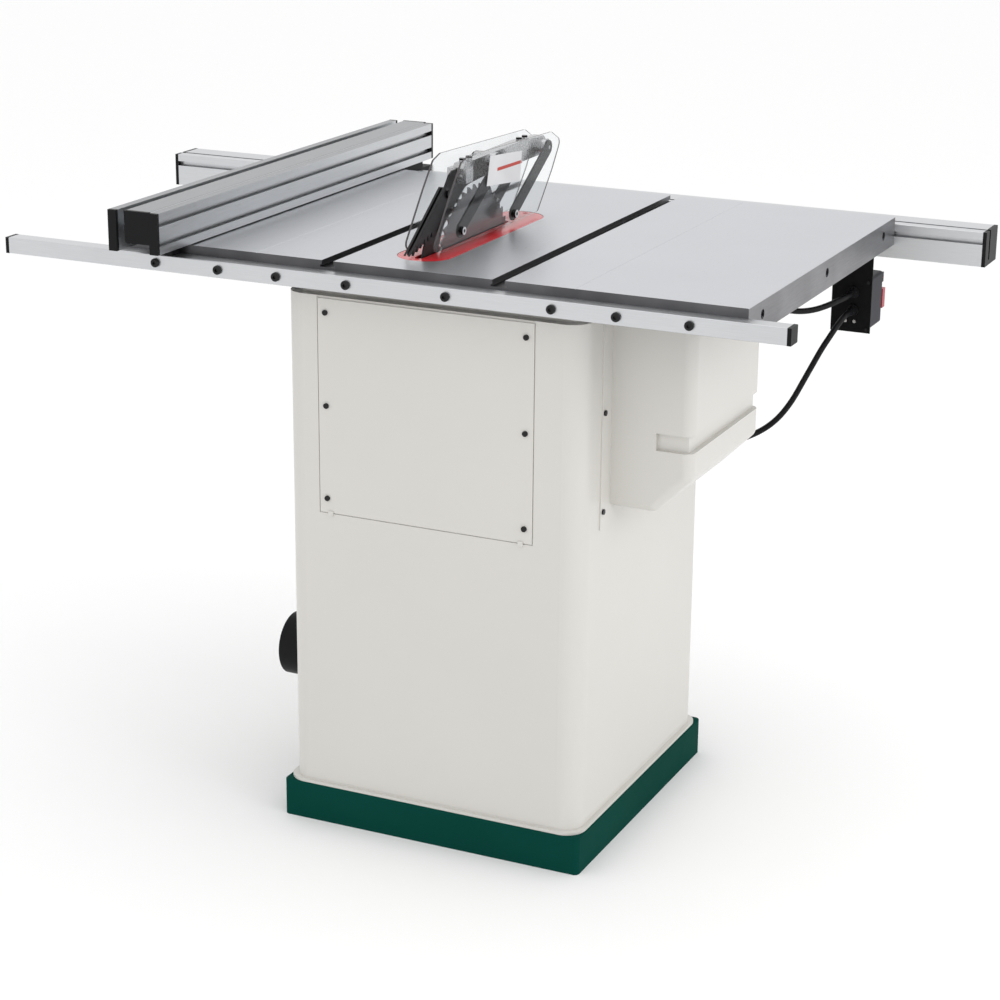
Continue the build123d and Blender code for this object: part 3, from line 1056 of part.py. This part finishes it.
with BuildPart() as supply_plug:
    nose = Plane(origin=PLUG_NOSE, x_dir=(0, 1, 0), z_dir=(1, 0, 0))
    with BuildSketch(nose):
        Circle(6)
    with BuildSketch(nose.offset(24)):
        Circle(8.5)
    loft()
    with BuildSketch(nose.offset(22)):
        RectangleRounded(28, 22, 8)
    extrude(amount=30)
    with BuildSketch(nose.offset(52)):
        with Locations((-6.35, 3), (6.35, 3)):
            Rectangle(1.5, 6.3)
        with Locations((0, -5.5)):
            Circle(2.4)
    extrude(amount=18)

# ---------------------------------------------------------------- write the nodes
for builder, name in (
    (base_plinth, "base_plinth"), (cabinet, "cabinet"), (rear_panel, "rear_panel"),
    (cover_screws, "cover_screws"), (motor_cover, "motor_cover"), (front_panel, "front_panel"),
    (table_main, "table_main"), (table_wing_left, "table_wing_left"),
    (table_wing_right, "table_wing_right"), (table_insert, "table_insert"), (rear_rail, "rear_rail"),
    (rear_rail_bolts, "rear_rail_bolts"), (front_rail, "front_rail"), (rail_caps, "rail_caps"),
    (trunnion_brackets, "trunnion_brackets"), (front_trunnion, "front_trunnion"),
    (rear_trunnion, "rear_trunnion"), (guide_frame, "guide_frame"), (arbor_carriage, "arbor_carriage"),
    (motor_body, "motor_body"), (drive_belt, "drive_belt"), (motor_pulley, "motor_pulley"),
    (arbor_shaft, "arbor_shaft"), (saw_blade, "saw_blade"), (arbor_flanges, "arbor_flanges"),
    (elevation_handwheel, "elevation_handwheel"), (elevation_handle, "elevation_handle"),
    (elevation_knob, "elevation_knob"), (elevation_shaft, "elevation_shaft"),
    (elevation_screw, "elevation_screw"), (tilt_handwheel, "tilt_handwheel"),
    (tilt_handle, "tilt_handle"), (tilt_knob, "tilt_knob"), (tilt_worm, "tilt_worm"),
    (splitter, "splitter"), (guard_bracket, "guard_bracket"), (fence_faces, "fence_faces"),
    (fence_beam, "fence_beam"), (fence_caps, "fence_caps"), (fence_head, "fence_head"),
    (fence_lever, "fence_lever"), (dust_chute, "dust_chute"), (dust_port, "dust_port"),
    (switch_bracket, "switch_bracket"), (switch_box, "switch_box"), (stop_paddle, "stop_paddle"),
    (start_button, "start_button"), (cord_glands, "cord_glands"), (supply_cord, "supply_cord"),
    (supply_cord_coil, "supply_cord_coil"), (supply_plug, "supply_plug"), (motor_cord, "motor_cord"),
):
    save(builder, name)
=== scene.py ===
"""Looks of the table saw: materials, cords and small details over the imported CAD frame, in metres."""

import math

import bmesh
import bpy
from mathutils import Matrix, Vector


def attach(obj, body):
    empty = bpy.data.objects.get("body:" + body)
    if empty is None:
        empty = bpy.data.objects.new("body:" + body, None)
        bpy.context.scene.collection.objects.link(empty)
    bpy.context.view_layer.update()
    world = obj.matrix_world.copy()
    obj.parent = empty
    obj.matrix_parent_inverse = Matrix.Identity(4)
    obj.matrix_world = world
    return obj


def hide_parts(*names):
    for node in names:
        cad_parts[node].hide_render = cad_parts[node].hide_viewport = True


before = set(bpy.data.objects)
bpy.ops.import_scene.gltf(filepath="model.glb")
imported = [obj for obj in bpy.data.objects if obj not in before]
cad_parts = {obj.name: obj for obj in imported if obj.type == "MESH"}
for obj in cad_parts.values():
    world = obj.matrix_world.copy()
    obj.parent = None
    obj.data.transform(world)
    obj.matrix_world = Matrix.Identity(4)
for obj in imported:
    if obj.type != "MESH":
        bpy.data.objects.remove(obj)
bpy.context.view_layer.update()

MM = 0.001
TABLE_TOP = 0.900
BLADE_X = 44.0

# ---------------------------------------------------------------- camera
CAMERA_PLACE = (-1.5567, 3.3562, 1.6895)
CAMERA_AZIMUTH = 204.9
CAMERA_ELEVATION = 18.1
CAMERA_ROLL = 0.5
CAMERA_LENS = 89.48


def add_camera():
    azimuth = math.radians(CAMERA_AZIMUTH)
    elevation = math.radians(CAMERA_ELEVATION)
    roll = math.radians(CAMERA_ROLL)
    right = Vector((math.cos(azimuth), math.sin(azimuth), 0))
    back = Vector((math.sin(azimuth) * math.cos(elevation), -math.cos(azimuth) * math.cos(elevation),
                   math.sin(elevation)))
    up = back.cross(right)
    local_x = right * math.cos(roll) + up * math.sin(roll)
    local_y = up * math.cos(roll) - right * math.sin(roll)
    data = bpy.data.cameras.new("camera")
    data.lens = CAMERA_LENS
    data.sensor_width = 36
    camera = bpy.data.objects.new("camera", data)
    bpy.context.scene.collection.objects.link(camera)
    matrix = camera.matrix_world.copy()
    for row in range(3):
        matrix[row][0] = local_x[row]
        matrix[row][1] = local_y[row]
        matrix[row][2] = back[row]
        matrix[row][3] = CAMERA_PLACE[row]
    camera.matrix_world = matrix
    bpy.context.scene.camera = camera


add_camera()


# ---------------------------------------------------------------- materials
# height band of the table's slot floors, which are given painted shade
SLOT_FROM = TABLE_TOP - 0.0012
SLOT_TO = TABLE_TOP - 0.0105
CLAMP_BOLTS_FROM = TABLE_TOP + 0.1213


class Nodes:
    """Short names for the few node operations that the materials share."""

    def __init__(self, name):
        self.material = bpy.data.materials.new(name)
        self.material.use_nodes = True
        self.tree = self.material.node_tree
        self.tree.nodes.clear()
        self.shader = self.tree.nodes.new("ShaderNodeBsdfPrincipled")
        output = self.tree.nodes.new("ShaderNodeOutputMaterial")
        self.link(self.shader.outputs["BSDF"], output.inputs["Surface"])
        self.coordinates = self.tree.nodes.new("ShaderNodeTexCoord")
        self.place = self.coordinates.outputs["Object"]

    def link(self, source, target):
        self.tree.links.new(source, target)

    def put(self, **values):
        """Sets the shader's own sockets; an underscore stands for a space."""
        for name, value in values.items():
            self.shader.inputs[name.replace("_", " ")].default_value = value

    def stretched(self, scale):
        """Object coordinates with each axis scaled on its own."""
        mapping = self.tree.nodes.new("ShaderNodeMapping")
        mapping.inputs["Scale"].default_value = scale
        self.link(self.place, mapping.inputs["Vector"])
        return mapping.outputs["Vector"]

    def noise(self, scale, detail=4, stretch=None, roughness=0.5):
        node = self.tree.nodes.new("ShaderNodeTexNoise")
        node.inputs["Scale"].default_value = scale
        node.inputs["Detail"].default_value = detail
        node.inputs["Roughness"].default_value = roughness
        self.link(self.stretched(stretch) if stretch else self.place, node.inputs["Vector"])
        return node.outputs["Fac"]

    def ramp(self, value, low, high, start=0.3, end=0.7):
        """Colour that goes from low to high as the value goes from start to end."""
        node = self.tree.nodes.new("ShaderNodeValToRGB")
        first, last = node.color_ramp.elements
        first.position, last.position = start, end
        first.color, last.color = (*low, 1), (*high, 1)
        self.link(value, node.inputs["Fac"])
        return node.outputs["Color"]

    def span(self, value, low, high):
        """Number that goes from low to high over the middle of a noise's range."""
        node = self.tree.nodes.new("ShaderNodeMapRange")
        node.inputs["From Min"].default_value = 0.3
        node.inputs["From Max"].default_value = 0.7
        node.inputs["To Min"].default_value = low
        node.inputs["To Max"].default_value = high
        self.link(value, node.inputs["Value"])
        return node.outputs["Result"]

    def calculate(self, operation, first, second):
        node = self.tree.nodes.new("ShaderNodeMath")
        node.operation = operation
        self.link(first, node.inputs[0])
        if isinstance(second, (int, float)):
            node.inputs[1].default_value = second
        else:
            self.link(second, node.inputs[1])
        return node.outputs["Value"]

    def split(self, vector):
        """The vector's X, Y and Z."""
        node = self.tree.nodes.new("ShaderNodeSeparateXYZ")
        self.link(vector, node.inputs["Vector"])
        return node.outputs

    def facing(self, axis):
        """1 on faces that look along the axis, either way, and 0 on the others."""
        normal = self.split(self.coordinates.outputs["Normal"])[axis]
        return self.calculate("GREATER_THAN", self.calculate("ABSOLUTE", normal, 0.0), 0.7)

    def mix(self, mask, color, other):
        """The colour where the mask is 0, and the other one where it is 1."""
        node = self.tree.nodes.new("ShaderNodeMix")
        node.data_type = "RGBA"
        inputs = {socket.identifier: socket for socket in node.inputs}
        result = {socket.identifier: socket for socket in node.outputs}["Result_Color"]
        if isinstance(mask, float):
            inputs["Factor_Float"].default_value = mask
        else:
            self.link(mask, inputs["Factor_Float"])
        for name, value in (("A_Color", color), ("B_Color", other)):
            if isinstance(value, tuple):
                inputs[name].default_value = (*value, 1)
            else:
                self.link(value, inputs[name])
        return result

    def bump(self, height, strength, distance):
        """Roughens the shader's normal by the height."""
        node = self.tree.nodes.new("ShaderNodeBump")
        node.inputs["Strength"].default_value = strength
        node.inputs["Distance"].default_value = distance
        self.link(height, node.inputs["Height"])
        self.link(node.outputs["Normal"], self.shader.inputs["Normal"])


def tint(color, factor):
    """The colour made lighter or darker."""
    return tuple(min(1.0, channel * factor) for channel in color)


def paint(name, color, roughness=0.32, coat=0.4, speckle=0.03, peel=0.25, specular=0.4):
    """Powder coat: faint colour drift, a soft orange-peel surface and a thin gloss coat."""
    nodes = Nodes(name)
    drift = nodes.noise(3.5, detail=3)
    finish = nodes.ramp(drift, tint(color, 1 - speckle), tint(color, 1 + speckle))
    nodes.link(finish, nodes.shader.inputs["Base Color"])
    gloss = nodes.span(nodes.noise(14, detail=3), roughness * 0.9, roughness * 1.12)
    nodes.link(gloss, nodes.shader.inputs["Roughness"])
    nodes.put(Coat_Weight=coat, Coat_Roughness=0.12, Specular_IOR_Level=specular)
    nodes.bump(nodes.noise(420, detail=2), peel, 0.00008)
    return nodes.material


def ground_metal(name, color, roughness, direction, scale=260, wear=0.10):
    """Ground or brushed metal: fine long scratches along one direction over broad soft patches."""
    nodes = Nodes(name)
    brush(nodes, color, roughness, direction, scale, wear)
    return nodes.material


def brush(nodes, color, roughness, direction, scale, wear):
    """Fills in a ground metal's sockets and returns its colour."""
    stretch = tuple(0.02 if axis == direction else 1.0 for axis in "XYZ")
    scratches = nodes.noise(scale * 5, detail=3, stretch=stretch, roughness=0.6)
    patches = nodes.noise(2.6, detail=4)
    streaks = nodes.ramp(scratches, tint(color, 1 - wear), tint(color, 1 + wear))
    clouds = nodes.ramp(patches, tint(color, 0.94), tint(color, 1.05))
    finish = nodes.mix(0.5, streaks, clouds)
    nodes.link(finish, nodes.shader.inputs["Base Color"])
    nodes.link(nodes.span(scratches, roughness * 0.8, roughness * 1.25), nodes.shader.inputs["Roughness"])
    nodes.put(Metallic=1.0)
    nodes.bump(scratches, 0.12, 0.00004)
    return finish


def table_iron(name, color, edge_color, slot_shade_color):
    """Ground cast iron: bright on top and dull on its edges, with painted shade making the front and rear
    edges darker still and the slot floors nearly black.
    """
    nodes = Nodes(name)
    finish = brush(nodes, color, 0.34, "Y", 260, 0.06)
    height = nodes.split(nodes.place)[2]
    level = nodes.facing(2)
    # painted shade: level faces in the slot band, the slot floors, are coloured near black
    below_top = nodes.calculate("LESS_THAN", height, SLOT_FROM)
    above_floor = nodes.calculate("GREATER_THAN", height, SLOT_TO)
    painted_slot_shade = nodes.calculate("MULTIPLY", nodes.calculate("MULTIPLY", level, below_top), above_floor)
    patches = nodes.noise(9, detail=4)
    sides = nodes.ramp(patches, tint(edge_color, 0.8), tint(edge_color, 1.2))
    # painted shade: front and rear edges darker than the side edges
    shaded_ends = nodes.ramp(patches, tint(edge_color, 0.42), tint(edge_color, 0.78))
    edges = nodes.mix(nodes.facing(1), sides, shaded_ends)
    body = nodes.mix(level, edges, finish)
    nodes.link(nodes.mix(painted_slot_shade, body, slot_shade_color), nodes.shader.inputs["Base Color"])
    return nodes.material


def fence_alloy(name, color):
    """Brushed aluminium whose upper faces are darkened with painted shade."""
    nodes = Nodes(name)
    finish = brush(nodes, color, 0.34, "Y", 200, 0.14)
    # painted shade: upper faces mixed towards black
    shaded_top = nodes.mix(0.45, finish, (0.0, 0.0, 0.0))
    nodes.link(nodes.mix(nodes.facing(2), finish, shaded_top), nodes.shader.inputs["Base Color"])
    return nodes.material


def cast(name, color, roughness=0.6, metallic=0.6):
    """Rough cast surface with small pits."""
    nodes = Nodes(name)
    grain = nodes.noise(260, detail=6, roughness=0.7)
    nodes.link(nodes.ramp(grain, tint(color, 0.75), tint(color, 1.2)), nodes.shader.inputs["Base Color"])
    nodes.link(nodes.span(grain, roughness * 0.85, roughness * 1.15), nodes.shader.inputs["Roughness"])
    nodes.put(Metallic=metallic)
    nodes.bump(grain, 0.35, 0.0003)
    return nodes.material


def plastic(name, color, roughness=0.5, grain=0.2, coat=0.0, specular=0.5):
    """Moulded plastic with a fine leathery grain."""
    nodes = Nodes(name)
    texture = nodes.noise(700, detail=3)
    drift = nodes.noise(9, detail=2)
    nodes.link(nodes.ramp(drift, tint(color, 0.9), tint(color, 1.1)), nodes.shader.inputs["Base Color"])
    nodes.link(nodes.span(texture, roughness * 0.9, roughness * 1.1), nodes.shader.inputs["Roughness"])
    nodes.put(Coat_Weight=coat, Coat_Roughness=0.1, Specular_IOR_Level=specular)
    nodes.bump(texture, grain, 0.00012)
    return nodes.material


def clear_plastic(name):
    """Clear sheet: see-through faces with a sharp gloss, and frosted grey cut edges."""
    nodes = Nodes(name)
    smudge = nodes.noise(6, detail=3)
    face = nodes.facing(0)
    glass = nodes.ramp(smudge, (0.90, 0.92, 0.93), (0.97, 0.98, 0.98))
    nodes.link(nodes.mix(face, (0.13, 0.12, 0.125), glass), nodes.shader.inputs["Base Color"])
    clearness = nodes.calculate("ADD", nodes.calculate("MULTIPLY", face, 0.75), 0.25)
    nodes.link(clearness, nodes.shader.inputs["Transmission Weight"])
    nodes.link(nodes.span(smudge, 0.02, 0.07), nodes.shader.inputs["Roughness"])
    nodes.put(IOR=1.16)
    return nodes.material


def guard_casting(name, color, bolt_color):
    """Polished casting whose clamp bolts, standing above it, are black."""
    nodes = Nodes(name)
    grain = nodes.noise(260, detail=6, roughness=0.7)
    finish = nodes.ramp(grain, tint(color, 0.9), tint(color, 1.06))
    height = nodes.split(nodes.place)[2]
    bolts = nodes.calculate("GREATER_THAN", height, CLAMP_BOLTS_FROM)
    nodes.link(nodes.mix(bolts, finish, bolt_color), nodes.shader.inputs["Base Color"])
    nodes.link(nodes.span(grain, 0.2, 0.35), nodes.shader.inputs["Roughness"])
    nodes.put(Metallic=1.0)
    nodes.bump(grain, 0.04, 0.0002)
    return nodes.material


GREEN = paint("green powder coat", (0.0038, 0.052, 0.040), roughness=0.42, coat=0.0, speckle=0.10,
              specular=0.005)
CREAM = paint("cream powder coat", (0.65, 0.635, 0.60), roughness=0.36, coat=0.12, speckle=0.012,
              specular=0.3)
IRON_TOP = table_iron("ground cast iron", (0.58, 0.59, 0.615), (0.20, 0.20, 0.21), (0.035, 0.035, 0.037))
RAW_IRON = cast("raw cast iron", (0.10, 0.10, 0.105))
RED_PAINT = paint("red gloss paint", (0.64, 0.020, 0.028), roughness=0.20, coat=0.25, speckle=0.05,
                  specular=0.3)
ALLOY_X = ground_metal("brushed aluminium rail", (0.62, 0.63, 0.645), 0.36, "X", scale=200)
FENCE_ALLOY = fence_alloy("brushed aluminium fence", (0.58, 0.595, 0.61))
CAST_ALLOY = guard_casting("cast aluminium", (0.50, 0.50, 0.51), (0.008, 0.008, 0.008))
STEEL = ground_metal("turned steel", (0.42, 0.42, 0.43), 0.3, "X")
BLADE_STEEL = ground_metal("blade steel", (0.17, 0.17, 0.175), 0.22, "Y")
DARK_STEEL = ground_metal("dark steel", (0.030, 0.030, 0.031), 0.34, "Y", wear=0.25)
BLACK_STEEL = paint("black powder coat", (0.004, 0.004, 0.0045), roughness=0.45, coat=0.0, speckle=0.2,
                    peel=0.5, specular=0.10)
BLACK_OXIDE = plastic("black oxide", (0.006, 0.006, 0.007), roughness=0.35, grain=0.05, specular=0.3)
BLACK_PLASTIC = plastic("black moulded plastic", (0.009, 0.009, 0.010), roughness=0.42, specular=0.11)
SWITCH_PLASTIC = plastic("grey-black plastic", (0.020, 0.021, 0.029), roughness=0.35, specular=0.05)
RUBBER = plastic("rubber sheath", (0.006, 0.006, 0.007), roughness=0.45, grain=0.4, specular=0.18)
CLEAR = clear_plastic("clear polycarbonate")
RED_PLASTIC = plastic("red plastic", (0.40, 0.025, 0.045), roughness=0.3, grain=0.05, specular=0.3)
GREEN_PLASTIC = plastic("green plastic", (0.01, 0.25, 0.06), roughness=0.3, grain=0.05, coat=0.4)
LABEL_WHITE = plastic("white label film", (0.72, 0.72, 0.73), roughness=0.4, grain=0.02, specular=0.3)
LABEL_RED = plastic("red label film", (0.50, 0.045, 0.030), roughness=0.4, grain=0.02, specular=0.3)
BRIGHT_STEEL = ground_metal("bright bolt steel", (0.72, 0.72, 0.73), 0.2, "X")

DRESS = {
    GREEN: ["base_plinth"],
    CREAM: ["cabinet", "rear_panel", "motor_cover", "dust_chute"],
    IRON_TOP: ["table_main", "table_wing_left", "table_wing_right"],
    RED_PAINT: ["table_insert"],
    RAW_IRON: ["trunnion_brackets", "front_trunnion", "rear_trunnion", "arbor_carriage"],
    ALLOY_X: ["rear_rail", "front_rail"],
    FENCE_ALLOY: ["fence_faces", "fence_beam"],
    CAST_ALLOY: ["guard_bracket"],
    STEEL: ["guide_frame", "motor_pulley", "arbor_shaft", "arbor_flanges", "elevation_shaft",
            "elevation_screw", "tilt_worm"],
    BLADE_STEEL: ["saw_blade"],
    DARK_STEEL: ["splitter", "guard_front_arm_left", "guard_front_arm_right", "guard_rear_arm_left",
                 "guard_rear_arm_right"],
    BLACK_STEEL: ["front_panel", "motor_body", "fence_head", "switch_bracket"],
    BLACK_OXIDE: ["rear_rail_bolts", "cover_screws", "kickback_pawl_left", "kickback_pawl_right"],
    BLACK_PLASTIC: ["rail_caps", "fence_caps", "fence_lever", "dust_port", "cord_glands",
                    "elevation_handwheel", "elevation_handle", "elevation_knob", "tilt_handwheel",
                    "tilt_handle", "tilt_knob"],
    SWITCH_PLASTIC: ["switch_box"],
    RUBBER: ["drive_belt", "supply_plug"],
    CLEAR: ["guard_shield_left", "guard_shield_right"],
    RED_PLASTIC: ["stop_paddle"],
    GREEN_PLASTIC: ["start_button"],
}


def cad(node):
    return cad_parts[node]


for material, names in DRESS.items():
    for name in names:
        for material_slot in cad(name).material_slots:
            material_slot.material = material


# ---------------------------------------------------------------- cords
CORD_RADIUS = 4.75
COIL_CENTRE = (-60.0, -384.0)
COIL_LOW = 4.75
COIL_HIGH = 14.25
COIL_WIDE = 56.75
COIL_NARROW = 47.25
TURN_POINTS = 14

SUPPLY_ROUTE = [
    (-427, -402, 741.5), (-427, -384, 741.5), (-425.4, -366.5, 737.4), (-421.7, -350.6, 727.8),
    (-415.6, -338.9, 713.9), (-406, -331.7, 695.5), (-395, -328, 671.6), (-380.5, -325, 641),
    (-363, -322, 604),
    (-341.5, -319, 573), (-316, -316, 551), (-286, -312, 535), (-251, -308, 518), (-217, -306, 490),
    (-192, -305, 446), (-180, -304, 378), (-176, -303, 296), (-175, -305, 212), (-171, -308, 136),
    (-161, -313, 78), (-142, -319, 36), (-116, -323.5, 12), (-86, -326.5, 4.75),
]
TAIL_ROUTE = [(-36, -326.6, 13.6), (-13, -325, 11), (9, -325, 11)]
MOTOR_ROUTE = [
    (-427, -402, 771), (-427, -382, 771), (-421.5, -361, 769.5), (-411, -340, 765), (-396, -318, 760.5),
    (-377, -297, 760), (-357, -276, 766), (-337, -256, 776.5), (-320, -240, 786), (-307, -229, 794),
    (-293, -219.5, 798.5), (-277.5, -213.5, 800), (-260.5, -212, 800),
]


def coil_turns():
    """Four turns, clockwise from above: out, in, in on top, out on top."""
    legs = [(COIL_WIDE, COIL_LOW), (COIL_NARROW, COIL_LOW), (COIL_NARROW, COIL_HIGH), (COIL_WIDE, COIL_HIGH)]
    points = []
    for leg, (radius, height) in enumerate(legs):
        before_radius, before_height = legs[leg - 1] if leg else (radius, height)
        for step in range(TURN_POINTS):
            share = min(1.0, step / 3)
            turn = math.radians(90) - 2 * math.pi * step / TURN_POINTS
            reach = before_radius + (radius - before_radius) * share
            points.append((COIL_CENTRE[0] + reach * math.cos(turn), COIL_CENTRE[1] + reach * math.sin(turn),
                           before_height + (height - before_height) * share))
    points.append((COIL_CENTRE[0], COIL_CENTRE[1] + COIL_WIDE, COIL_HIGH))
    return points


def add_cord(name, points):
    data = bpy.data.curves.new(name, "CURVE")
    data.dimensions = "3D"
    data.bevel_depth = CORD_RADIUS * MM
    data.bevel_resolution = 6
    data.use_fill_caps = True
    data.resolution_u = 6
    spline = data.splines.new("NURBS")
    spline.points.add(len(points) - 1)
    for point, place in zip(spline.points, points):
        point.co = (*[value * MM for value in place], 1)
    spline.order_u = 3
    spline.use_endpoint_u = True
    cord = bpy.data.objects.new(name, data)
    bpy.context.scene.collection.objects.link(cord)
    data.materials.append(RUBBER)
    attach(cord, "base")
    return cord


supply = add_cord("supply_lead", SUPPLY_ROUTE + coil_turns() + TAIL_ROUTE)
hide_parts("supply_cord", "supply_cord_coil")
motor_lead = add_cord("motor_lead", MOTOR_ROUTE)
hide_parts("motor_cord")


# ---------------------------------------------------------------- guard label, bolt faces and screws
SHIELD_FACE = 19.5
LABEL_THICKNESS = 0.3
BAR_THICKNESS = 0.15
LABEL_CORNERS = [(18, 978), (6, 1022), (-108, 1012), (-102, 966)]
LABEL_BAR = [(-19, 995), (-19, 1000), (-104, 998), (-104, 993)]


def add_sheet(name, corners, near, far, material, body, axis="X"):
    """Thin sheet between two distances along X or Y, from its outline across that axis, in millimetres."""
    mesh = bpy.data.meshes.new(name)
    points = []
    for depth in (near, far):
        for across, height in corners:
            place = (depth, across, height) if axis == "X" else (across, depth, height)
            points.append(tuple(value * MM for value in place))
    count = len(corners)
    faces = [tuple(range(count)), tuple(range(2 * count - 1, count - 1, -1))]
    for corner in range(count):
        after = (corner + 1) % count
        faces.append((corner, corner + count, after + count, after))
    mesh.from_pydata(points, [], faces)
    mesh.validate()
    solid = bmesh.new()
    solid.from_mesh(mesh)
    bmesh.ops.recalc_face_normals(solid, faces=solid.faces)
    solid.to_mesh(mesh)
    solid.free()
    sheet = bpy.data.objects.new(name, mesh)
    bpy.context.scene.collection.objects.link(sheet)
    mesh.materials.append(material)
    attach(sheet, body)
    return sheet


def circle(centre, radius, count):
    """Outline of a round head, or of a hexagon where the count is 6."""
    turns = [2 * math.pi * step / count for step in range(count)]
    return [(centre[0] + radius * math.cos(turn), centre[1] + radius * math.sin(turn)) for turn in turns]


LABEL_FACE = SHIELD_FACE - LABEL_THICKNESS
add_sheet("guard_label", LABEL_CORNERS, LABEL_FACE, SHIELD_FACE, LABEL_WHITE, "shield_left")
add_sheet("guard_label_bar", LABEL_BAR, LABEL_FACE - BAR_THICKNESS, LABEL_FACE, LABEL_RED, "shield_left")

ARM_BOLTS = {"front_arm": (-85.0, 918.0), "rear_arm": (101.0, 926.0)}
BOLT_OUT = 27.6
BOLT_RADIUS = 6.2
BOLT_FACE = 0.5
HEX_RADIUS = 3.0
HEX_FACE = 0.2
for arm, place in ARM_BOLTS.items():
    for side, hand in ((-1, "left"), (1, "right")):
        body = f"{arm}_{hand}"
        head = BLADE_X + side * BOLT_OUT
        face = head + side * BOLT_FACE
        add_sheet(f"{body}_bolt_face", circle(place, BOLT_RADIUS, 24), head, face,
                  BRIGHT_STEEL, body)
        add_sheet(f"{body}_bolt_hex", circle(place, HEX_RADIUS, 6), face, face + side * HEX_FACE,
                  BLACK_OXIDE, body)

CORNER_SCREWS = [(x, z) for x in (-451.0, -397.0) for z in (711.5, 789.0)]
MIDDLE_SCREWS = [(-431.0, 723.5), (-416.0, 723.5)]
SCREW_RADIUS = 2.7
SCREW_BACK = -418.0
SCREW_FACE = SCREW_BACK + 0.4


def add_screws(name, places, material):
    """Screw heads on the rear of the switch bracket."""
    for number, place in enumerate(places):
        add_sheet(f"{name}_{number}", circle(place, SCREW_RADIUS, 16), SCREW_BACK, SCREW_FACE, material,
                  "base", axis="Y")


add_screws("corner_screw", CORNER_SCREWS, BLACK_OXIDE)
add_screws("middle_screw", MIDDLE_SCREWS, BRIGHT_STEEL)


# ---------------------------------------------------------------- stage
def add_floor():
    mesh = bpy.data.meshes.new("floor")
    side = 14
    corners = [(-side, -side, 0), (side, -side, 0), (side, side, 0), (-side, side, 0)]
    mesh.from_pydata(corners, [], [(0, 1, 2, 3)])
    floor = bpy.data.objects.new("floor", mesh)
    bpy.context.scene.collection.objects.link(floor)
    nodes = Nodes("pale floor")
    nodes.put(Base_Color=(0.98, 0.98, 0.98, 1), Roughness=0.9, Specular_IOR_Level=0.1)
    mesh.materials.append(nodes.material)


def add_light(name, place, aim, size, power):
    data = bpy.data.lights.new(name, "AREA")
    data.shape = "RECTANGLE"
    data.size, data.size_y = size
    data.energy = power
    light = bpy.data.objects.new(name, data)
    light.location = place
    light.rotation_euler = (Vector(aim) - Vector(place)).to_track_quat("-Z", "Y").to_euler()
    bpy.context.scene.collection.objects.link(light)


def add_world():
    world = bpy.data.worlds.new("studio")
    world.use_nodes = True
    background = world.node_tree.nodes["Background"]
    background.inputs["Color"].default_value = (1, 1, 1, 1)
    background.inputs["Strength"].default_value = 1.0
    bpy.context.scene.world = world


add_floor()
add_world()
add_light("key", (-3.6, 0.6, 2.6), (0, 0, 0.5), (2.4, 2.0), 26)
add_light("top", (0, -0.6, 4.0), (0, 0, 0.9), (3.0, 2.0), 14)
bpy.context.scene.view_settings.view_transform = "Standard"
